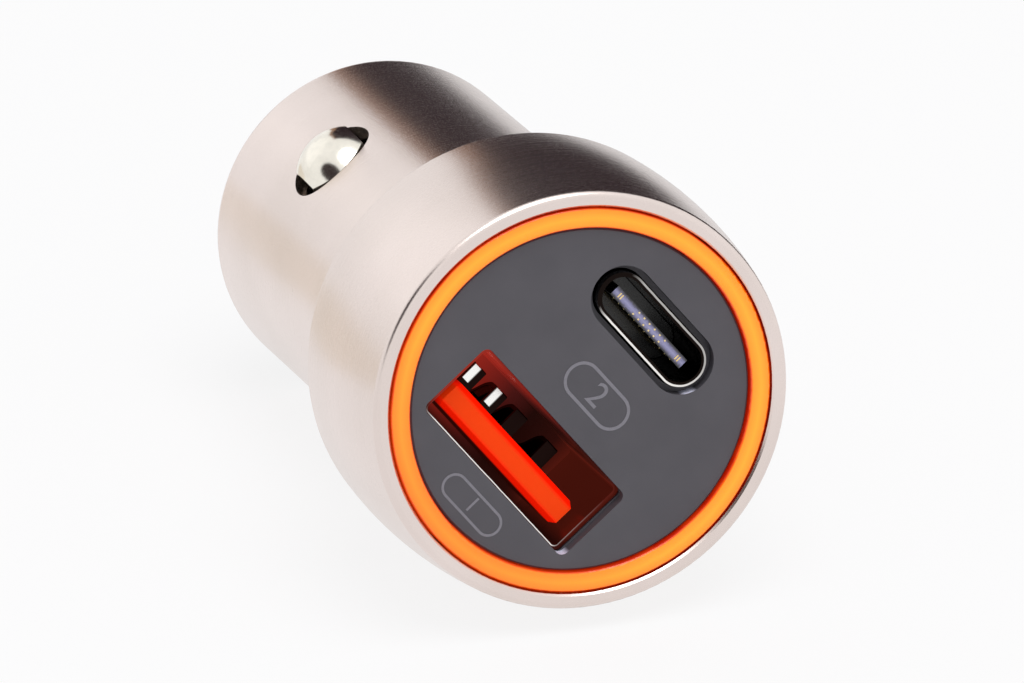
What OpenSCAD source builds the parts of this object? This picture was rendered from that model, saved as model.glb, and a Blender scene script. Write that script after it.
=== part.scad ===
// Twin-port charger plug for a 12 volt car socket, in millimetres.
// It lies on its side, on the head's rear edge and the barrel's tail edge, with its face towards -Y.
// The origin is on the plug's axis, at the shoulder where the head meets the barrel.
// Each piece is modelled upright, face up along +Z, and lay_down() puts it in the resting pose.

/* [Head] */
// Length of the head, from the shoulder to the front of the rim
head_len = 12.8; // [12.4:0.1:16]
// Greatest radius of the head, at its crown
head_crown_r = 13.6; // [13.4:0.1:15]
// How far behind the front of the rim the crown lies
head_crown_back = 8; // [6:0.1:9]
// Radius of the head's gentle lengthwise bulge
head_bulge_r = 60; // [50:1:120]
// Rounding of the rim's outer edge
rim_round = 0.4; // [0.2:0.05:0.6]
// Bevel on the rim's inner edge
rim_bevel = 0.12; // [0.05:0.01:0.2]
// Rounding of the head's rear edge
head_rear_round = 0.3; // [0.1:0.05:0.5]
// Radius of the bore that holds the light ring
head_bore_r = 12.15; // [12.05:0.05:12.4]
// Thickness of the head's floor, round the barrel
head_floor_t = 1.5; // [1:0.1:1.8]

/* [Barrel] */
// Radius of the barrel, which fills the car's socket
barrel_r = 10.5; // [10.3:0.05:10.7]
// Length of the metal barrel, behind the shoulder
barrel_len = 29.3; // [29:0.1:34]
// Wall of the metal barrel
barrel_wall = 1.1; // [0.8:0.05:1.2]
// Rounding of the barrel's tail edge
tail_round = 1; // [0.6:0.05:1]

/* [Face] */
// Depth of the panel's face behind the rim
panel_recess = 0.4; // [0.2:0.05:0.5]
// Thickness of the front panel
panel_t = 0.8; // [0.6:0.05:0.9]
// Bevel on the panel's edge and cut-outs
panel_bevel = 0.12; // [0.05:0.01:0.2]
// Width of the light ring, as seen from the front
ring_w = 1.26; // [1.1:0.01:1.4]
// Gap between the light ring and the rim
ring_gap = 0.1; // [0.05:0.01:0.15]
// Gap between the light ring and the panel
panel_gap = 0.06; // [0.04:0.01:0.1]
// How far the ring's face lies behind the rim
ring_recess = 0.05; // [0:0.01:0.1]
// Length of the light ring along the axis
ring_len = 4.05; // [3.6:0.05:4.2]
// Rounding of the ring's front edges
ring_round = 0.22; // [0.1:0.01:0.3]
// Thickness of the lamp board under the ring
lamp_board_t = 0.6; // [0.4:0.05:0.8]
// Number of lamps under the ring
lamp_count = 8; // [6:1:10]
// Height of one lamp
lamp_h = 0.5; // [0.4:0.05:0.6]
// Air gap between the lamps and the ring
lamp_gap = 0.1; // [0.05:0.05:0.3]

/* [Port carrier] */
// Wall of the carrier's skirt
skirt_wall = 1.05; // [0.9:0.05:1.2]
// Thickness of the carrier's floor, under the lamp board
carrier_floor_t = 1.5; // [1:0.1:1.7]
// Gap round a port shell in its pocket
pocket_gap = 0.1; // [0.05:0.01:0.15]
// Gap between the carrier's neck and the light ring
neck_gap = 0.18; // [0.1:0.01:0.22]

/* [Wide port] */
// Offset of the wide port's centre from the axis
wide_offset = 4.6; // [4.5:0.05:4.7]
// Length of the opening in the wide port's shell
wide_open_w = 12.5; // [12.3:0.05:12.6]
// Height of the opening in the wide port's shell
wide_open_h = 5.12; // [5:0.02:5.2]
// Sheet thickness of the wide port's shell
wide_sheet = 0.3; // [0.25:0.01:0.32]
// Outer corner radius of the wide port's shell
wide_corner_r = 0.6; // [0.5:0.05:0.8]
// Length of the wide port's shell along the axis
wide_len = 9.9; // [9.4:0.1:9.9]
// Width of a sprung tab in the wide port's shell
wide_tab_w = 2; // [1.8:0.1:2.4]
// Length of a sprung tab
wide_tab_len = 3.6; // [3:0.1:4]
// Distance of the sprung tabs from the middle of the shell
wide_tab_x = 3.1; // [2.8:0.1:3.4]
// Depth of a sprung tab's root behind the shell's front
wide_tab_back = 2; // [1.8:0.1:2.6]
// Width of the slot that cuts a tab free
wide_tab_slot = 0.3; // [0.2:0.05:0.4]
// Length of the panel's cut-out for the wide port
wide_cut_w = 13.5; // [13.2:0.05:13.6]
// Height of the panel's cut-out for the wide port
wide_cut_h = 5.4; // [5.3:0.05:5.6]
// Length of the tongue's face
wide_tongue_w = 11.1; // [10.9:0.05:11.3]
// Thickness of the tongue
wide_tongue_t = 1.84; // [1.7:0.02:1.9]
// Offset of the tongue from the middle of the opening
wide_tongue_offset = 0.83; // [0.75:0.01:0.85]
// Depth of the tongue's tip behind the shell's front
wide_tongue_recess = 0.8; // [0.6:0.05:1.2]
// Depth of the base block that carries the tongue
wide_base_len = 1.6; // [1.4:0.1:2]
// Bevel along the tongue's edges
wide_tongue_bevel = 0.3; // [0.2:0.02:0.35]
// Width of one spring contact
wide_contact_w = 1; // [0.8:0.05:1.1]
// Sheet thickness of a spring contact
wide_contact_t = 0.25; // [0.2:0.01:0.3]
// Height of a contact's crest over the tongue
wide_contact_rise = 1.4; // [1.1:0.05:1.5]

/* [Small port] */
// Offset of the small port's centre from the axis
small_offset = 6.06; // [6:0.02:6.2]
// Outer width of the small port's shell
small_w = 8.94; // [8.8:0.02:9]
// Outer height of the small port's shell
small_h = 3.16; // [3.1:0.02:3.2]
// Sheet thickness of the small port's shell
small_sheet = 0.3; // [0.25:0.01:0.32]
// Length of the small port's shell along the axis
small_len = 9; // [8.8:0.1:9.4]
// Depth of the small port's shell behind the panel's face
small_recess = 0.1; // [0.05:0.05:0.3]
// Gap between the small port's shell and the panel's cut-out
small_cut_gap = 0.45; // [0.3:0.01:0.5]
// Width of the small port's tongue
small_tongue_w = 6.69; // [6.6:0.01:6.75]
// Thickness of the small port's tongue
small_tongue_t = 0.7; // [0.66:0.01:0.72]
// Length of the small port's tongue
small_tongue_len = 4.7; // [4.4:0.05:4.9]
// Depth of the tongue's tip behind the shell's front
small_tongue_recess = 0.6; // [0.4:0.05:0.8]
// Number of contact strips on each side of the tongue
small_contact_count = 12; // [8:1:12]
// Spacing of the contact strips
small_contact_pitch = 0.5; // [0.45:0.01:0.5]
// Width of one contact strip
small_contact_w = 0.25; // [0.2:0.01:0.3]
// Height of a contact strip over the tongue
small_contact_t = 0.06; // [0.04:0.01:0.08]

/* [Boards] */
// Thickness of the main board
board_t = 1.2; // [1:0.1:1.3]
// Gap between the main board's edge and the barrel
board_gap = 0.2; // [0.15:0.05:0.4]
// Gap between the main board's front edge and the carrier
board_front_gap = 0.2; // [0.1:0.05:0.3]
// Width of the board's waist, between the side contacts
waist_w = 9; // [8.6:0.1:9.2]
// Thickness of the small port's board
small_board_t = 0.8; // [0.6:0.1:1]
// Width of the small port's board
small_board_w = 11.2; // [10:0.1:12]
// Number of pins that join the two boards
link_count = 5; // [3:1:5]
// Spacing of the pins that join the two boards
link_pitch = 2; // [1.8:0.05:2.1]
// Thickness of a square pin
link_pin_w = 0.6; // [0.5:0.05:0.7]
// Thickness of a lamp lead
lead_w = 0.5; // [0.4:0.05:0.6]

/* [Board parts] */
// Side of the square power inductor
power_coil_w = 7; // [6.6:0.1:7.2]
// Distance of the power inductor from the board's edge
power_coil_inset = 1.7; // [1.6:0.1:3]
// Gap between the tall parts' outer corners and the barrel
tall_part_gap = 0.3; // [0.25:0.05:0.5]
// Side of the square filter inductor
filter_coil_w = 4.8; // [4.4:0.1:5]
// Height of the filter inductor
filter_coil_h = 3; // [2.6:0.1:3.4]
// Diameter of the input capacitor's can
input_can_d = 6.3; // [6:0.1:6.5]
// Distance of the input capacitor from the board's edge
input_can_inset = 1.7; // [1.6:0.1:2.4]
// Diameter of an output capacitor's can
output_can_d = 4; // [3.8:0.1:4.2]
// Gap between an output capacitor's top and the barrel
output_can_gap = 1.2; // [0.6:0.1:1.6]
// Length of the converter chip
converter_len = 5; // [4.6:0.1:5.2]
// Width of the converter chip
converter_w = 4; // [3.6:0.1:4.4]
// Side of the port chip
port_chip_w = 4; // [3.6:0.1:4.2]
// Thickness of the chips
chip_t = 0.9; // [0.7:0.05:1]
// Side of a switching transistor
switch_w = 3; // [2.8:0.1:3.2]
// Length of the fuse
fuse_len = 3.2; // [3:0.1:3.3]
// Width and height of the fuse
fuse_w = 1.6; // [1.4:0.1:1.8]
// Length of a resistor
resistor_len = 1; // [0.8:0.05:1.1]

/* [Side contacts] */
// Distance of the side contacts from the barrel's tail edge
side_to_tail = 12.6; // [12.2:0.1:13]
// Diameter of the side holes in the barrel
side_hole_d = 5.8; // [5.6:0.05:6]
// Gap between a contact and its hole
side_hole_gap = 0.25; // [0.15:0.05:0.3]
// How far a contact's dome stands out of the barrel
dome_rise = 1.4; // [1.2:0.05:1.5]
// Radius of the dome
dome_r = 3.1; // [3:0.05:3.4]
// Width of a contact across the barrel
side_contact_w = 4.2; // [4:0.05:4.4]
// Length of the contact's foot along the axis
side_foot_len = 8.4; // [8:0.1:9]
// Sheet thickness of the contact's foot
side_foot_t = 0.4; // [0.3:0.05:0.5]
// Gap between the contact's foot and the barrel's bore
side_foot_gap = 0.25; // [0.2:0.01:0.3]
// Travel of a side contact into the barrel
side_travel = 1.5; // [1.4:0.05:1.6]
// Wire thickness of a side spring
side_wire = 0.4; // [0.35:0.01:0.45]
// Mean radius of a side spring's coil
side_coil_r = 1.4; // [1.35:0.01:1.45]
// Turns of a side spring
side_turns = 5; // [4:0.5:6]
// Radius of the seat under a side spring
side_seat_r = 2.2; // [2:0.05:2.3]
// Thickness of the seat under a side spring
side_seat_t = 0.8; // [0.6:0.05:0.9]
// Height of the contact holder over the axis
holder_top = 3.2; // [3:0.1:3.6]
// Length of the contact holder along the axis
holder_len = 5; // [4.6:0.1:5.2]

/* [Tail] */
// Gap between the tail cap and the barrel's bore
cap_gap = 0.04; // [0.02:0.01:0.08]
// Depth of the cap's shoulder inside the barrel
cap_recess = 0.3; // [0.1:0.05:0.5]
// Length of the cap inside the barrel
cap_plug_len = 4.5; // [4:0.1:5]
// Length of the nose behind the cap's shoulder
nose_len = 5.3; // [5:0.1:6]
// Radius of the nose where it leaves the barrel
nose_base_r = 8.4; // [8:0.1:8.6]
// Radius of the nose's flat end
nose_end_r = 4; // [3.8:0.1:4.4]
// Rounding of the nose's end
nose_round = 0.7; // [0.4:0.05:0.9]
// Wall of the cap
cap_wall = 1.2; // [1:0.1:1.4]
// Radius of the centre pin
tip_r = 2.4; // [2.3:0.02:2.5]
// Running clearance round the centre pin
tip_clear = 0.05; // [0.03:0.01:0.09]
// How far the centre pin stands out of the nose
tip_out = 4.2; // [4:0.1:4.5]
// Travel of the centre pin into the nose
tip_travel = 2.5; // [2.2:0.1:2.6]
// Radius of the pin's collar
collar_r = 3.4; // [3.2:0.05:3.5]
// Thickness of the pin's collar
collar_t = 0.8; // [0.6:0.05:1]
// Length of the nose's end wall, which guides the pin
guide_len = 2; // [1.8:0.1:2.4]
// Gap between the collar and the nose's spring chamber
chamber_gap = 0.3; // [0.25:0.01:0.4]
// Wire thickness of the centre spring
centre_wire = 0.5; // [0.4:0.02:0.55]
// Mean radius of the centre spring's coil
centre_coil_r = 2.3; // [2.2:0.05:2.4]
// Turns of the centre spring
centre_turns = 6; // [5:0.5:7]
// Thickness of the brass plate that the spring presses on
plate_t = 0.5; // [0.4:0.05:0.6]

/* [Resting pose] */
// Lean of the ports' long side from upright, as the plug lies
port_roll = 38.7; // [0:0.1:90]

/* [Hidden] */

// Fineness of round faces, large and small
round_fn = 96;
small_fn = 48;
bulge_fn = 360;
// Sides of a spring's wire, and its steps in one turn
wire_sides = 6;
coil_steps = 14;
// Reach of a cutting shape past the face that it cuts
over = 1;

// Gap between neighbouring parts inside the plug
part_gap = 0.2;
// Gap at each end of a spring
spring_gap = 0.03;
// Gap round a port's base block in its shell
base_gap = 0.04;

// Colours
body_metal = [0.80, 0.74, 0.70];
panel_grey = [0.33, 0.32, 0.35];
ring_orange = [1.00, 0.65, 0.18];
port_steel = [0.80, 0.80, 0.82];
tongue_red = [0.95, 0.20, 0.05];
port_black = [0.12, 0.12, 0.14];
gold = [0.85, 0.65, 0.30];
nickel = [0.85, 0.84, 0.82];
brass = [0.80, 0.65, 0.35];
board_green = [0.10, 0.35, 0.20];
chip_black = [0.10, 0.10, 0.11];
ferrite = [0.25, 0.25, 0.27];
can_silver = [0.75, 0.76, 0.78];
moulding_black = [0.14, 0.14, 0.15];
moulding_white = [0.88, 0.88, 0.85];
lamp_yellow = [1.00, 0.85, 0.55];

// Head
crown_z = head_len - head_crown_back;
bulge_x = head_crown_r - head_bulge_r;
// Turn of the shell's seam, which keeps it clear of the side holes
seam_turn = 20;
barrel_bore_r = barrel_r - barrel_wall;
// Centres of the rounded edges, in the plane of radius and height
rim_edge = rounded_edge_centre(head_len - rim_round, rim_round);
rear_edge = rounded_edge_centre(head_rear_round, head_rear_round);
tail_edge = [barrel_r - tail_round, tail_round - barrel_len];
function rounded_edge_centre(z, r) =
    [bulge_x + sqrt(pow(head_bulge_r - r, 2) - pow(z - crown_z, 2)), z];
function bulge_angle(centre) = atan2(centre[1] - crown_z, centre[0] - bulge_x);

// Face
panel_z = head_len - panel_recess;
panel_back_z = panel_z - panel_t;
ring_r = head_bore_r - ring_gap;
ring_inner_r = ring_r - ring_w;
ring_front_z = head_len - ring_recess;
ring_back_z = ring_front_z - ring_len;
panel_r = ring_inner_r - panel_gap;
lamp_top_z = ring_back_z - lamp_gap;
lamp_board_z = lamp_top_z - lamp_h - lamp_board_t;
lamp_w = ring_w - part_gap;
lamp_len = 1.6;
lamp_circle_r = (ring_r + ring_inner_r) / 2;

// Port carrier
neck_r = ring_inner_r - neck_gap;
carrier_back_z = lamp_board_z - carrier_floor_t;
skirt_r = ring_r;
skirt_bore_r = skirt_r - skirt_wall;
// Grips that hold the main board's edges
grip_w = 2.1;
grip_inset = 1.4;
grip_t = 0.9;
grip_len = 1.6;
grip_gap = 0.05;
grip_root_r = (skirt_bore_r + skirt_r) / 2;
lead_slot_w = lead_w + 2 * part_gap;

// Wide port, on the -Y side of the axis
wide_w = wide_open_w + 2 * wide_sheet;
wide_h = wide_open_h + 2 * wide_sheet;
wide_front_z = panel_back_z;
wide_back_z = wide_front_z - wide_len;
wide_base_z = wide_back_z + wide_base_len;
wide_tongue_y = -wide_offset - wide_tongue_offset;
wide_tongue_front_z = wide_front_z - wide_tongue_recess;
wide_face_y = wide_tongue_y + wide_tongue_t / 2;
wide_contact_x = [-3.5, -1, 1, 3.5];
wide_cut_corner_r = 0.5;

// Small port, on the +Y side of the axis
small_front_z = panel_z - small_recess;
small_back_z = small_front_z - small_len;
small_tongue_front_z = small_front_z - small_tongue_recess;
small_base_z = small_tongue_front_z - small_tongue_len;
small_strip_back = 0.6;
small_board_face_y = small_offset - small_h / 2;

// Boards
board_bottom_y = -wide_offset + wide_h / 2;
board_top_y = board_bottom_y + board_t;
board_front_z = carrier_back_z - board_front_gap;
board_reach_y = max(abs(board_bottom_y), abs(board_top_y));
board_half_w = sqrt(pow(barrel_bore_r, 2) - pow(board_reach_y, 2)) - board_gap;
board_head_half_w = sqrt(pow(skirt_bore_r, 2) - pow(board_reach_y, 2)) - board_gap;
board_step_z = head_floor_t + board_gap;
small_board_back_z = board_step_z + board_gap;
link_z = small_board_back_z + 1.1;
// Where a lamp lead lies on the main board
lead_z = board_front_z - 0.9;
lead_pad_len = 0.8;

// Side contacts, a set length before the tail, and the notches in the board that they move in
notch_end_gap = 0.5;
side_z = side_to_tail - barrel_len;
notch_half_len = side_foot_len / 2 + notch_end_gap;
notch_front_z = side_z + notch_half_len;

// Places of the parts on the main board: along it, in the middle of the room before the notches,
// and across it, from its edges, its waist and one another
part_margin = 0.3;
top_room_z = (notch_front_z - part_margin) / 2;
under_room_z = (notch_front_z + wide_back_z) / 2;
power_coil_x = board_half_w - power_coil_inset - power_coil_w / 2;
filter_coil_x = waist_w / 2 - filter_coil_w / 2 - part_gap;
filter_coil_z = side_z + 1.2;
input_can_x = board_half_w - input_can_inset - input_can_d / 2;
output_can_x = waist_w / 2 - output_can_d / 2 - part_gap;
converter_x = input_can_x - input_can_d / 2 - part_margin - converter_w / 2;
switch_x = power_coil_x - power_coil_w / 2 - 2 * part_margin - switch_w / 2;
switch_step = switch_w / 2 + part_margin;
port_chip_x = port_chip_w / 2 + 1.7 - board_head_half_w;
fuse_x = waist_w / 2 - fuse_w / 2 - part_gap;

// Heights of the tall parts, up to the barrel's bore
power_coil_h = room_to_bore(power_coil_x + power_coil_w / 2, tall_part_gap) + board_bottom_y;
input_can_h = room_to_bore(input_can_x + input_can_d / 2, tall_part_gap) - board_top_y;
output_can_h = room_to_bore(output_can_x + output_can_d / 2, output_can_gap) + board_bottom_y;
function room_to_bore(x, gap) = sqrt(pow(barrel_bore_r - gap, 2) - pow(x, 2));

// Small parts on the board
resistor_x = -6.4;
resistor_pitch = 1.3;
resistor_w = 0.5;
resistor_h = 0.35;
coil_corner_cut = 1.4;
filter_corner_cut = 1;
can_foot_h = 0.9;
can_groove_r = 0.25;
can_groove_z = 1;

// Side contacts
boss_len = 0.9;
boss_gap = 0.15;
dome_x = barrel_r + dome_rise - dome_r;
side_body_r = side_hole_d / 2 - side_hole_gap;
foot_corner_r = barrel_bore_r - side_foot_gap;
foot_x = sqrt(pow(foot_corner_r, 2) - pow(side_contact_w / 2, 2));
side_bore_r = side_coil_r + side_wire / 2 + boss_gap;
side_bore_x = barrel_r;
seat_x = waist_w / 2 + part_gap;
seat_face_x = seat_x + side_seat_t;

// Tail
plate_end_gap = 0.1;
chamber_top_gap = 0.3;
cap_r = barrel_bore_r - cap_gap;
cap_shoulder_z = cap_recess - barrel_len;
cap_top_z = cap_shoulder_z + cap_plug_len;
nose_z = cap_shoulder_z - nose_len;
guide_z = nose_z + guide_len;
chamber_r = collar_r + chamber_gap;
chamber_tube_r = chamber_r + cap_wall;
collar_gap = 0.02;
collar_z = guide_z + collar_gap;
board_back_z = cap_top_z + plate_end_gap;
plate_z = board_back_z - plate_t;
plate_r = chamber_r;
plate_tab_w = 3;
plate_tab_len = 3;
chamber_top_z = plate_z - chamber_top_gap;
spigot_r = centre_coil_r - centre_wire / 2 - part_gap;
spigot_len = 2.4;
tip_z = nose_z - tip_out;

// The tangent to both rounded edges gives the axis's tilt as the plug lies on them
edge_step = rear_edge - tail_edge;
lie_tilt = atan2(edge_step[0], edge_step[1]) - asin((tail_round - head_rear_round) / norm(edge_step));

module lay_down() {
    rotate([90 - lie_tilt, 0, 0])
        rotate([0, 0, port_roll - 90])
            children();
}

// Takes the corner off a profile between two directions and rounds it about a centre
module round_edge(centre, r, from_angle, to_angle) {
    reach = 4 * r;
    mid_angle = (from_angle + to_angle) / 2;
    difference() {
        children();
        translate(centre)
            polygon([
                [0, 0],
                reach * [cos(from_angle), sin(from_angle)],
                2 * reach * [cos(mid_angle), sin(mid_angle)],
                reach * [cos(to_angle), sin(to_angle)]
            ]);
    }
    translate(centre)
        circle(r = r, $fn = small_fn);
}

module rounded_rect(w, h, r) {
    square([w - 2 * r, h], center = true);
    square([w, h - 2 * r], center = true);
    for (x = [-1, 1], y = [-1, 1])
        translate([x * (w / 2 - r), y * (h / 2 - r)])
            circle(r = r, $fn = small_fn);
}

module stadium(w, h) {
    square([w - h, h], center = true);
    for (x = [-1, 1])
        translate([x * (w - h) / 2, 0])
            circle(r = h / 2, $fn = small_fn);
}

// A block on one face of the main board: side 1 is the top face, -1 the bottom face
module on_board(side, x, z) {
    translate([x, side > 0 ? board_top_y : board_bottom_y, z])
        rotate([side > 0 ? -90 : 90, 0, 0])
            children();
}

module centred_block(w, len, h) {
    translate([-w / 2, -len / 2, 0])
        cube([w, len, h]);
}

// A coil spring along +Z with closed ends, swept as one ring of sides round the wire
function coil_lift(t, closed, slope) =
    t < closed ? t * slope
    : t > 1 - closed ? 1 - (1 - t) * slope
    : closed * slope + (t - closed) * (1 - 2 * closed * slope) / (1 - 2 * closed);

module coil(r, wire, turns, len) {
    sides = wire_sides;
    steps = turns * coil_steps;
    closed = 0.12;
    slope = 0.4;
    points = [
        for (i = [0 : steps])
            let (
                a = 360 * turns * i / steps,
                rise = wire / 2 + (len - wire) * coil_lift(i / steps, closed, slope)
            )
            for (k = [0 : sides - 1])
                let (
                    b = 360 * (k + 0.5) / sides,
                    out = r + cos(b) * wire / 2
                )
                [out * cos(a), out * sin(a), rise + sin(b) * wire / 2]
    ];
    faces = concat(
        [[for (k = [0 : sides - 1]) k]],
        [
            for (i = [0 : steps - 1], k = [0 : sides - 1])
                let (n = (k + 1) % sides)
                [i * sides + k, (i + 1) * sides + k, (i + 1) * sides + n, i * sides + n]
        ],
        [[for (k = [0 : sides - 1]) steps * sides + sides - 1 - k]]
    );
    polyhedron(points = points, faces = faces, convexity = 8);
}

// Metal body

module head_profile() {
    round_edge(rear_edge, head_rear_round, -90, bulge_angle(rear_edge))
        round_edge(rim_edge, rim_round, bulge_angle(rim_edge), 90)
            intersection() {
                translate([bulge_x, crown_z])
                    circle(r = head_bulge_r, $fn = bulge_fn);
                square([head_crown_r, head_len]);
            }
}

module barrel_profile() {
    round_edge(tail_edge, tail_round, -90, 0)
        translate([0, -barrel_len])
            square([barrel_r, barrel_len + head_floor_t]);
}

module shell_cavity() {
    translate([0, head_floor_t])
        square([head_bore_r, head_len]);
    translate([0, -barrel_len - over])
        square([barrel_bore_r, barrel_len + head_floor_t + 2 * over]);
    polygon([
        [0, head_len - rim_bevel],
        [head_bore_r, head_len - rim_bevel],
        [head_bore_r + rim_bevel, head_len],
        [head_bore_r + rim_bevel, head_len + over],
        [0, head_len + over]
    ]);
}

module shell() {
    color(body_metal)
        lay_down()
            difference() {
                rotate([0, 0, seam_turn])
                    rotate_extrude($fn = round_fn)
                        difference() {
                            union() {
                                head_profile();
                                barrel_profile();
                            }
                            shell_cavity();
                        }
                for (side = [0, 180])
                    rotate([0, 0, side])
                        translate([barrel_bore_r - over, 0, side_z])
                            rotate([0, 90, 0])
                                cylinder(d = side_hole_d, h = barrel_wall + 2 * over, $fn = small_fn);
            }
}

// Face

module front_panel() {
    color(panel_grey)
        lay_down()
            difference() {
                rotate_extrude($fn = round_fn)
                    polygon([
                        [0, panel_back_z],
                        [panel_r, panel_back_z],
                        [panel_r, panel_z - panel_bevel],
                        [panel_r - panel_bevel, panel_z],
                        [0, panel_z]
                    ]);
                translate([0, -wide_offset, panel_back_z - over])
                    linear_extrude(panel_t + 2 * over)
                        rounded_rect(wide_cut_w, wide_cut_h, wide_cut_corner_r);
                translate([0, small_offset, panel_back_z - over])
                    linear_extrude(panel_t + 2 * over)
                        stadium(small_w + 2 * small_cut_gap, small_h + 2 * small_cut_gap);
            }
}

module light_ring() {
    color(ring_orange)
        lay_down()
            rotate_extrude($fn = round_fn)
                round_edge([ring_r - ring_round, ring_front_z - ring_round], ring_round, 0, 90)
                    round_edge([ring_inner_r + ring_round, ring_front_z - ring_round], ring_round, 90, 180)
                        translate([ring_inner_r, ring_back_z])
                            square([ring_w, ring_len]);
}

module port_carrier() {
    color(moulding_black)
        lay_down()
            difference() {
                union() {
                    rotate_extrude($fn = round_fn)
                        polygon([
                            [0, carrier_back_z],
                            [skirt_bore_r, carrier_back_z],
                            [skirt_bore_r, head_floor_t],
                            [skirt_r, head_floor_t],
                            [skirt_r, lamp_board_z],
                            [neck_r, lamp_board_z],
                            [neck_r, panel_back_z],
                            [0, panel_back_z]
                        ]);
                    // Grips above and below the main board's edges
                    intersection() {
                        for (side = [0, 1], y = [board_bottom_y - grip_t - grip_gap, board_top_y + grip_gap])
                            mirror([side, 0, 0])
                                translate([skirt_bore_r - grip_inset, y, board_step_z])
                                    cube([grip_w, grip_t, grip_len]);
                        translate([0, 0, board_step_z - over])
                            cylinder(r = grip_root_r, h = grip_len + 2 * over, $fn = round_fn);
                    }
                }
                translate([0, -wide_offset, carrier_back_z - over])
                    linear_extrude(head_len)
                        rounded_rect(wide_w + 2 * pocket_gap, wide_h + 2 * pocket_gap, wide_corner_r);
                translate([0, small_offset, carrier_back_z - over])
                    linear_extrude(head_len)
                        stadium(small_w + 2 * pocket_gap, small_h + 2 * pocket_gap);
                // Ways for the two lamp leads
                for (side = [0, 1])
                    mirror([side, 0, 0])
                        translate([0, board_top_y - part_gap, lead_z - lead_slot_w / 2]) {
                            translate([lamp_circle_r - lead_slot_w / 2, 0, 0])
                                cube([lead_slot_w, lead_slot_w, lamp_board_z + over - lead_z]);
                            translate([skirt_bore_r - over, 0, 0])
                                cube([
                                    lamp_circle_r + lead_slot_w / 2 - skirt_bore_r + over,
                                    lead_slot_w,
                                    lead_slot_w
                                ]);
                        }
            }
}

module led_board() {
    color(board_green)
        lay_down()
            translate([0, 0, lamp_board_z])
                difference() {
                    cylinder(r = ring_r, h = lamp_board_t, $fn = round_fn);
                    translate([0, 0, -over])
                        cylinder(r = ring_inner_r, h = lamp_board_t + 2 * over, $fn = round_fn);
                }
}

module leds() {
    color(lamp_yellow)
        lay_down()
            for (i = [0 : lamp_count - 1])
                rotate([0, 0, 360 * (i + 0.5) / lamp_count])
                    translate([lamp_circle_r, 0, lamp_board_z + lamp_board_t])
                        centred_block(lamp_w, lamp_len, lamp_h);
}

module led_leads() {
    pad_x = board_head_half_w - lead_pad_len;
    color(brass)
        lay_down()
            for (side = [0, 1])
                mirror([side, 0, 0])
                    translate([0, board_top_y, lead_z - lead_w / 2]) {
                        translate([lamp_circle_r - lead_w / 2, 0, 0])
                            cube([lead_w, lead_w, lamp_board_z - lead_z + lead_w / 2]);
                        translate([pad_x, 0, 0])
                            cube([lamp_circle_r - pad_x, lead_w, lead_w]);
                    }
}

// Wide port

// Slots that cut the sprung tabs free on three sides, drawn across the shell and along the axis
module tab_slots() {
    tab_root = wide_len - wide_tab_back;
    for (x = [-wide_tab_x, wide_tab_x])
        difference() {
            translate([x - wide_tab_w / 2 - wide_tab_slot, tab_root - wide_tab_len - wide_tab_slot])
                square([wide_tab_w + 2 * wide_tab_slot, wide_tab_len + wide_tab_slot]);
            translate([x - wide_tab_w / 2, tab_root - wide_tab_len])
                square([wide_tab_w, wide_tab_len + over]);
        }
}

module usb_a_shell() {
    color(port_steel)
        lay_down()
            translate([0, -wide_offset, wide_back_z])
                difference() {
                    linear_extrude(wide_len)
                        difference() {
                            rounded_rect(wide_w, wide_h, wide_corner_r);
                            rounded_rect(wide_open_w, wide_open_h, wide_corner_r - wide_sheet);
                        }
                    rotate([90, 0, 0])
                        linear_extrude(wide_h + 2 * over, center = true)
                            tab_slots();
                }
}

module usb_a_tongue() {
    b = wide_tongue_bevel;
    w = wide_tongue_w / 2;
    t = wide_tongue_t / 2;
    color(tongue_red)
        lay_down() {
            translate([0, -wide_offset, wide_back_z])
                linear_extrude(wide_base_len)
                    rounded_rect(
                        wide_open_w - 2 * base_gap,
                        wide_open_h - 2 * base_gap,
                        wide_corner_r - wide_sheet
                    );
            intersection() {
                translate([0, wide_tongue_y, wide_base_z])
                    linear_extrude(wide_tongue_front_z - wide_base_z)
                        polygon([
                            [-w, -t + b], [-w + b, -t], [w - b, -t], [w, -t + b],
                            [w, t - b], [w - b, t], [-w + b, t], [-w, t - b]
                        ]);
                translate([-w - over, wide_tongue_y, 0])
                    rotate([90, 0, 90])
                        linear_extrude(2 * w + 2 * over)
                            polygon([
                                [-t, wide_base_z - over],
                                [t, wide_base_z - over],
                                [t, wide_tongue_front_z - b],
                                [t - b, wide_tongue_front_z],
                                [-t + b, wide_tongue_front_z],
                                [-t, wide_tongue_front_z - b]
                            ]);
            }
        }
}

// One spring contact's side view: distance along the axis, then height over the tongue
module spring_contact_profile() {
    rise = wide_contact_rise;
    t = wide_contact_t;
    reach = wide_tongue_front_z - wide_base_z;
    foot_end = 0.22 * reach;
    crest_from = 0.4 * reach;
    crest_to = 0.55 * reach;
    tip_from = 0.8 * reach;
    tip_to = 0.92 * reach;
    polygon([
        [0, 0],
        [foot_end, 0],
        [crest_from, rise - t],
        [crest_to, rise - t],
        [tip_from, 0],
        [tip_to, 0],
        [tip_to, t],
        [tip_from + t / 2, t],
        [crest_to + t / 2, rise],
        [crest_from - t / 2, rise],
        [foot_end - t / 2, t],
        [0, t]
    ]);
}

module usb_a_contacts() {
    color(gold)
        lay_down()
            for (x = wide_contact_x)
                translate([x - wide_contact_w / 2, wide_face_y, wide_base_z])
                    rotate([90, 0, 90])
                        linear_extrude(wide_contact_w)
                            mirror([1, -1, 0])
                                spring_contact_profile();
}

// Small port

module usb_c_shell() {
    color(port_steel)
        lay_down()
            translate([0, small_offset, small_back_z])
                linear_extrude(small_len)
                    difference() {
                        stadium(small_w, small_h);
                        stadium(small_w - 2 * small_sheet, small_h - 2 * small_sheet);
                    }
}

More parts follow.
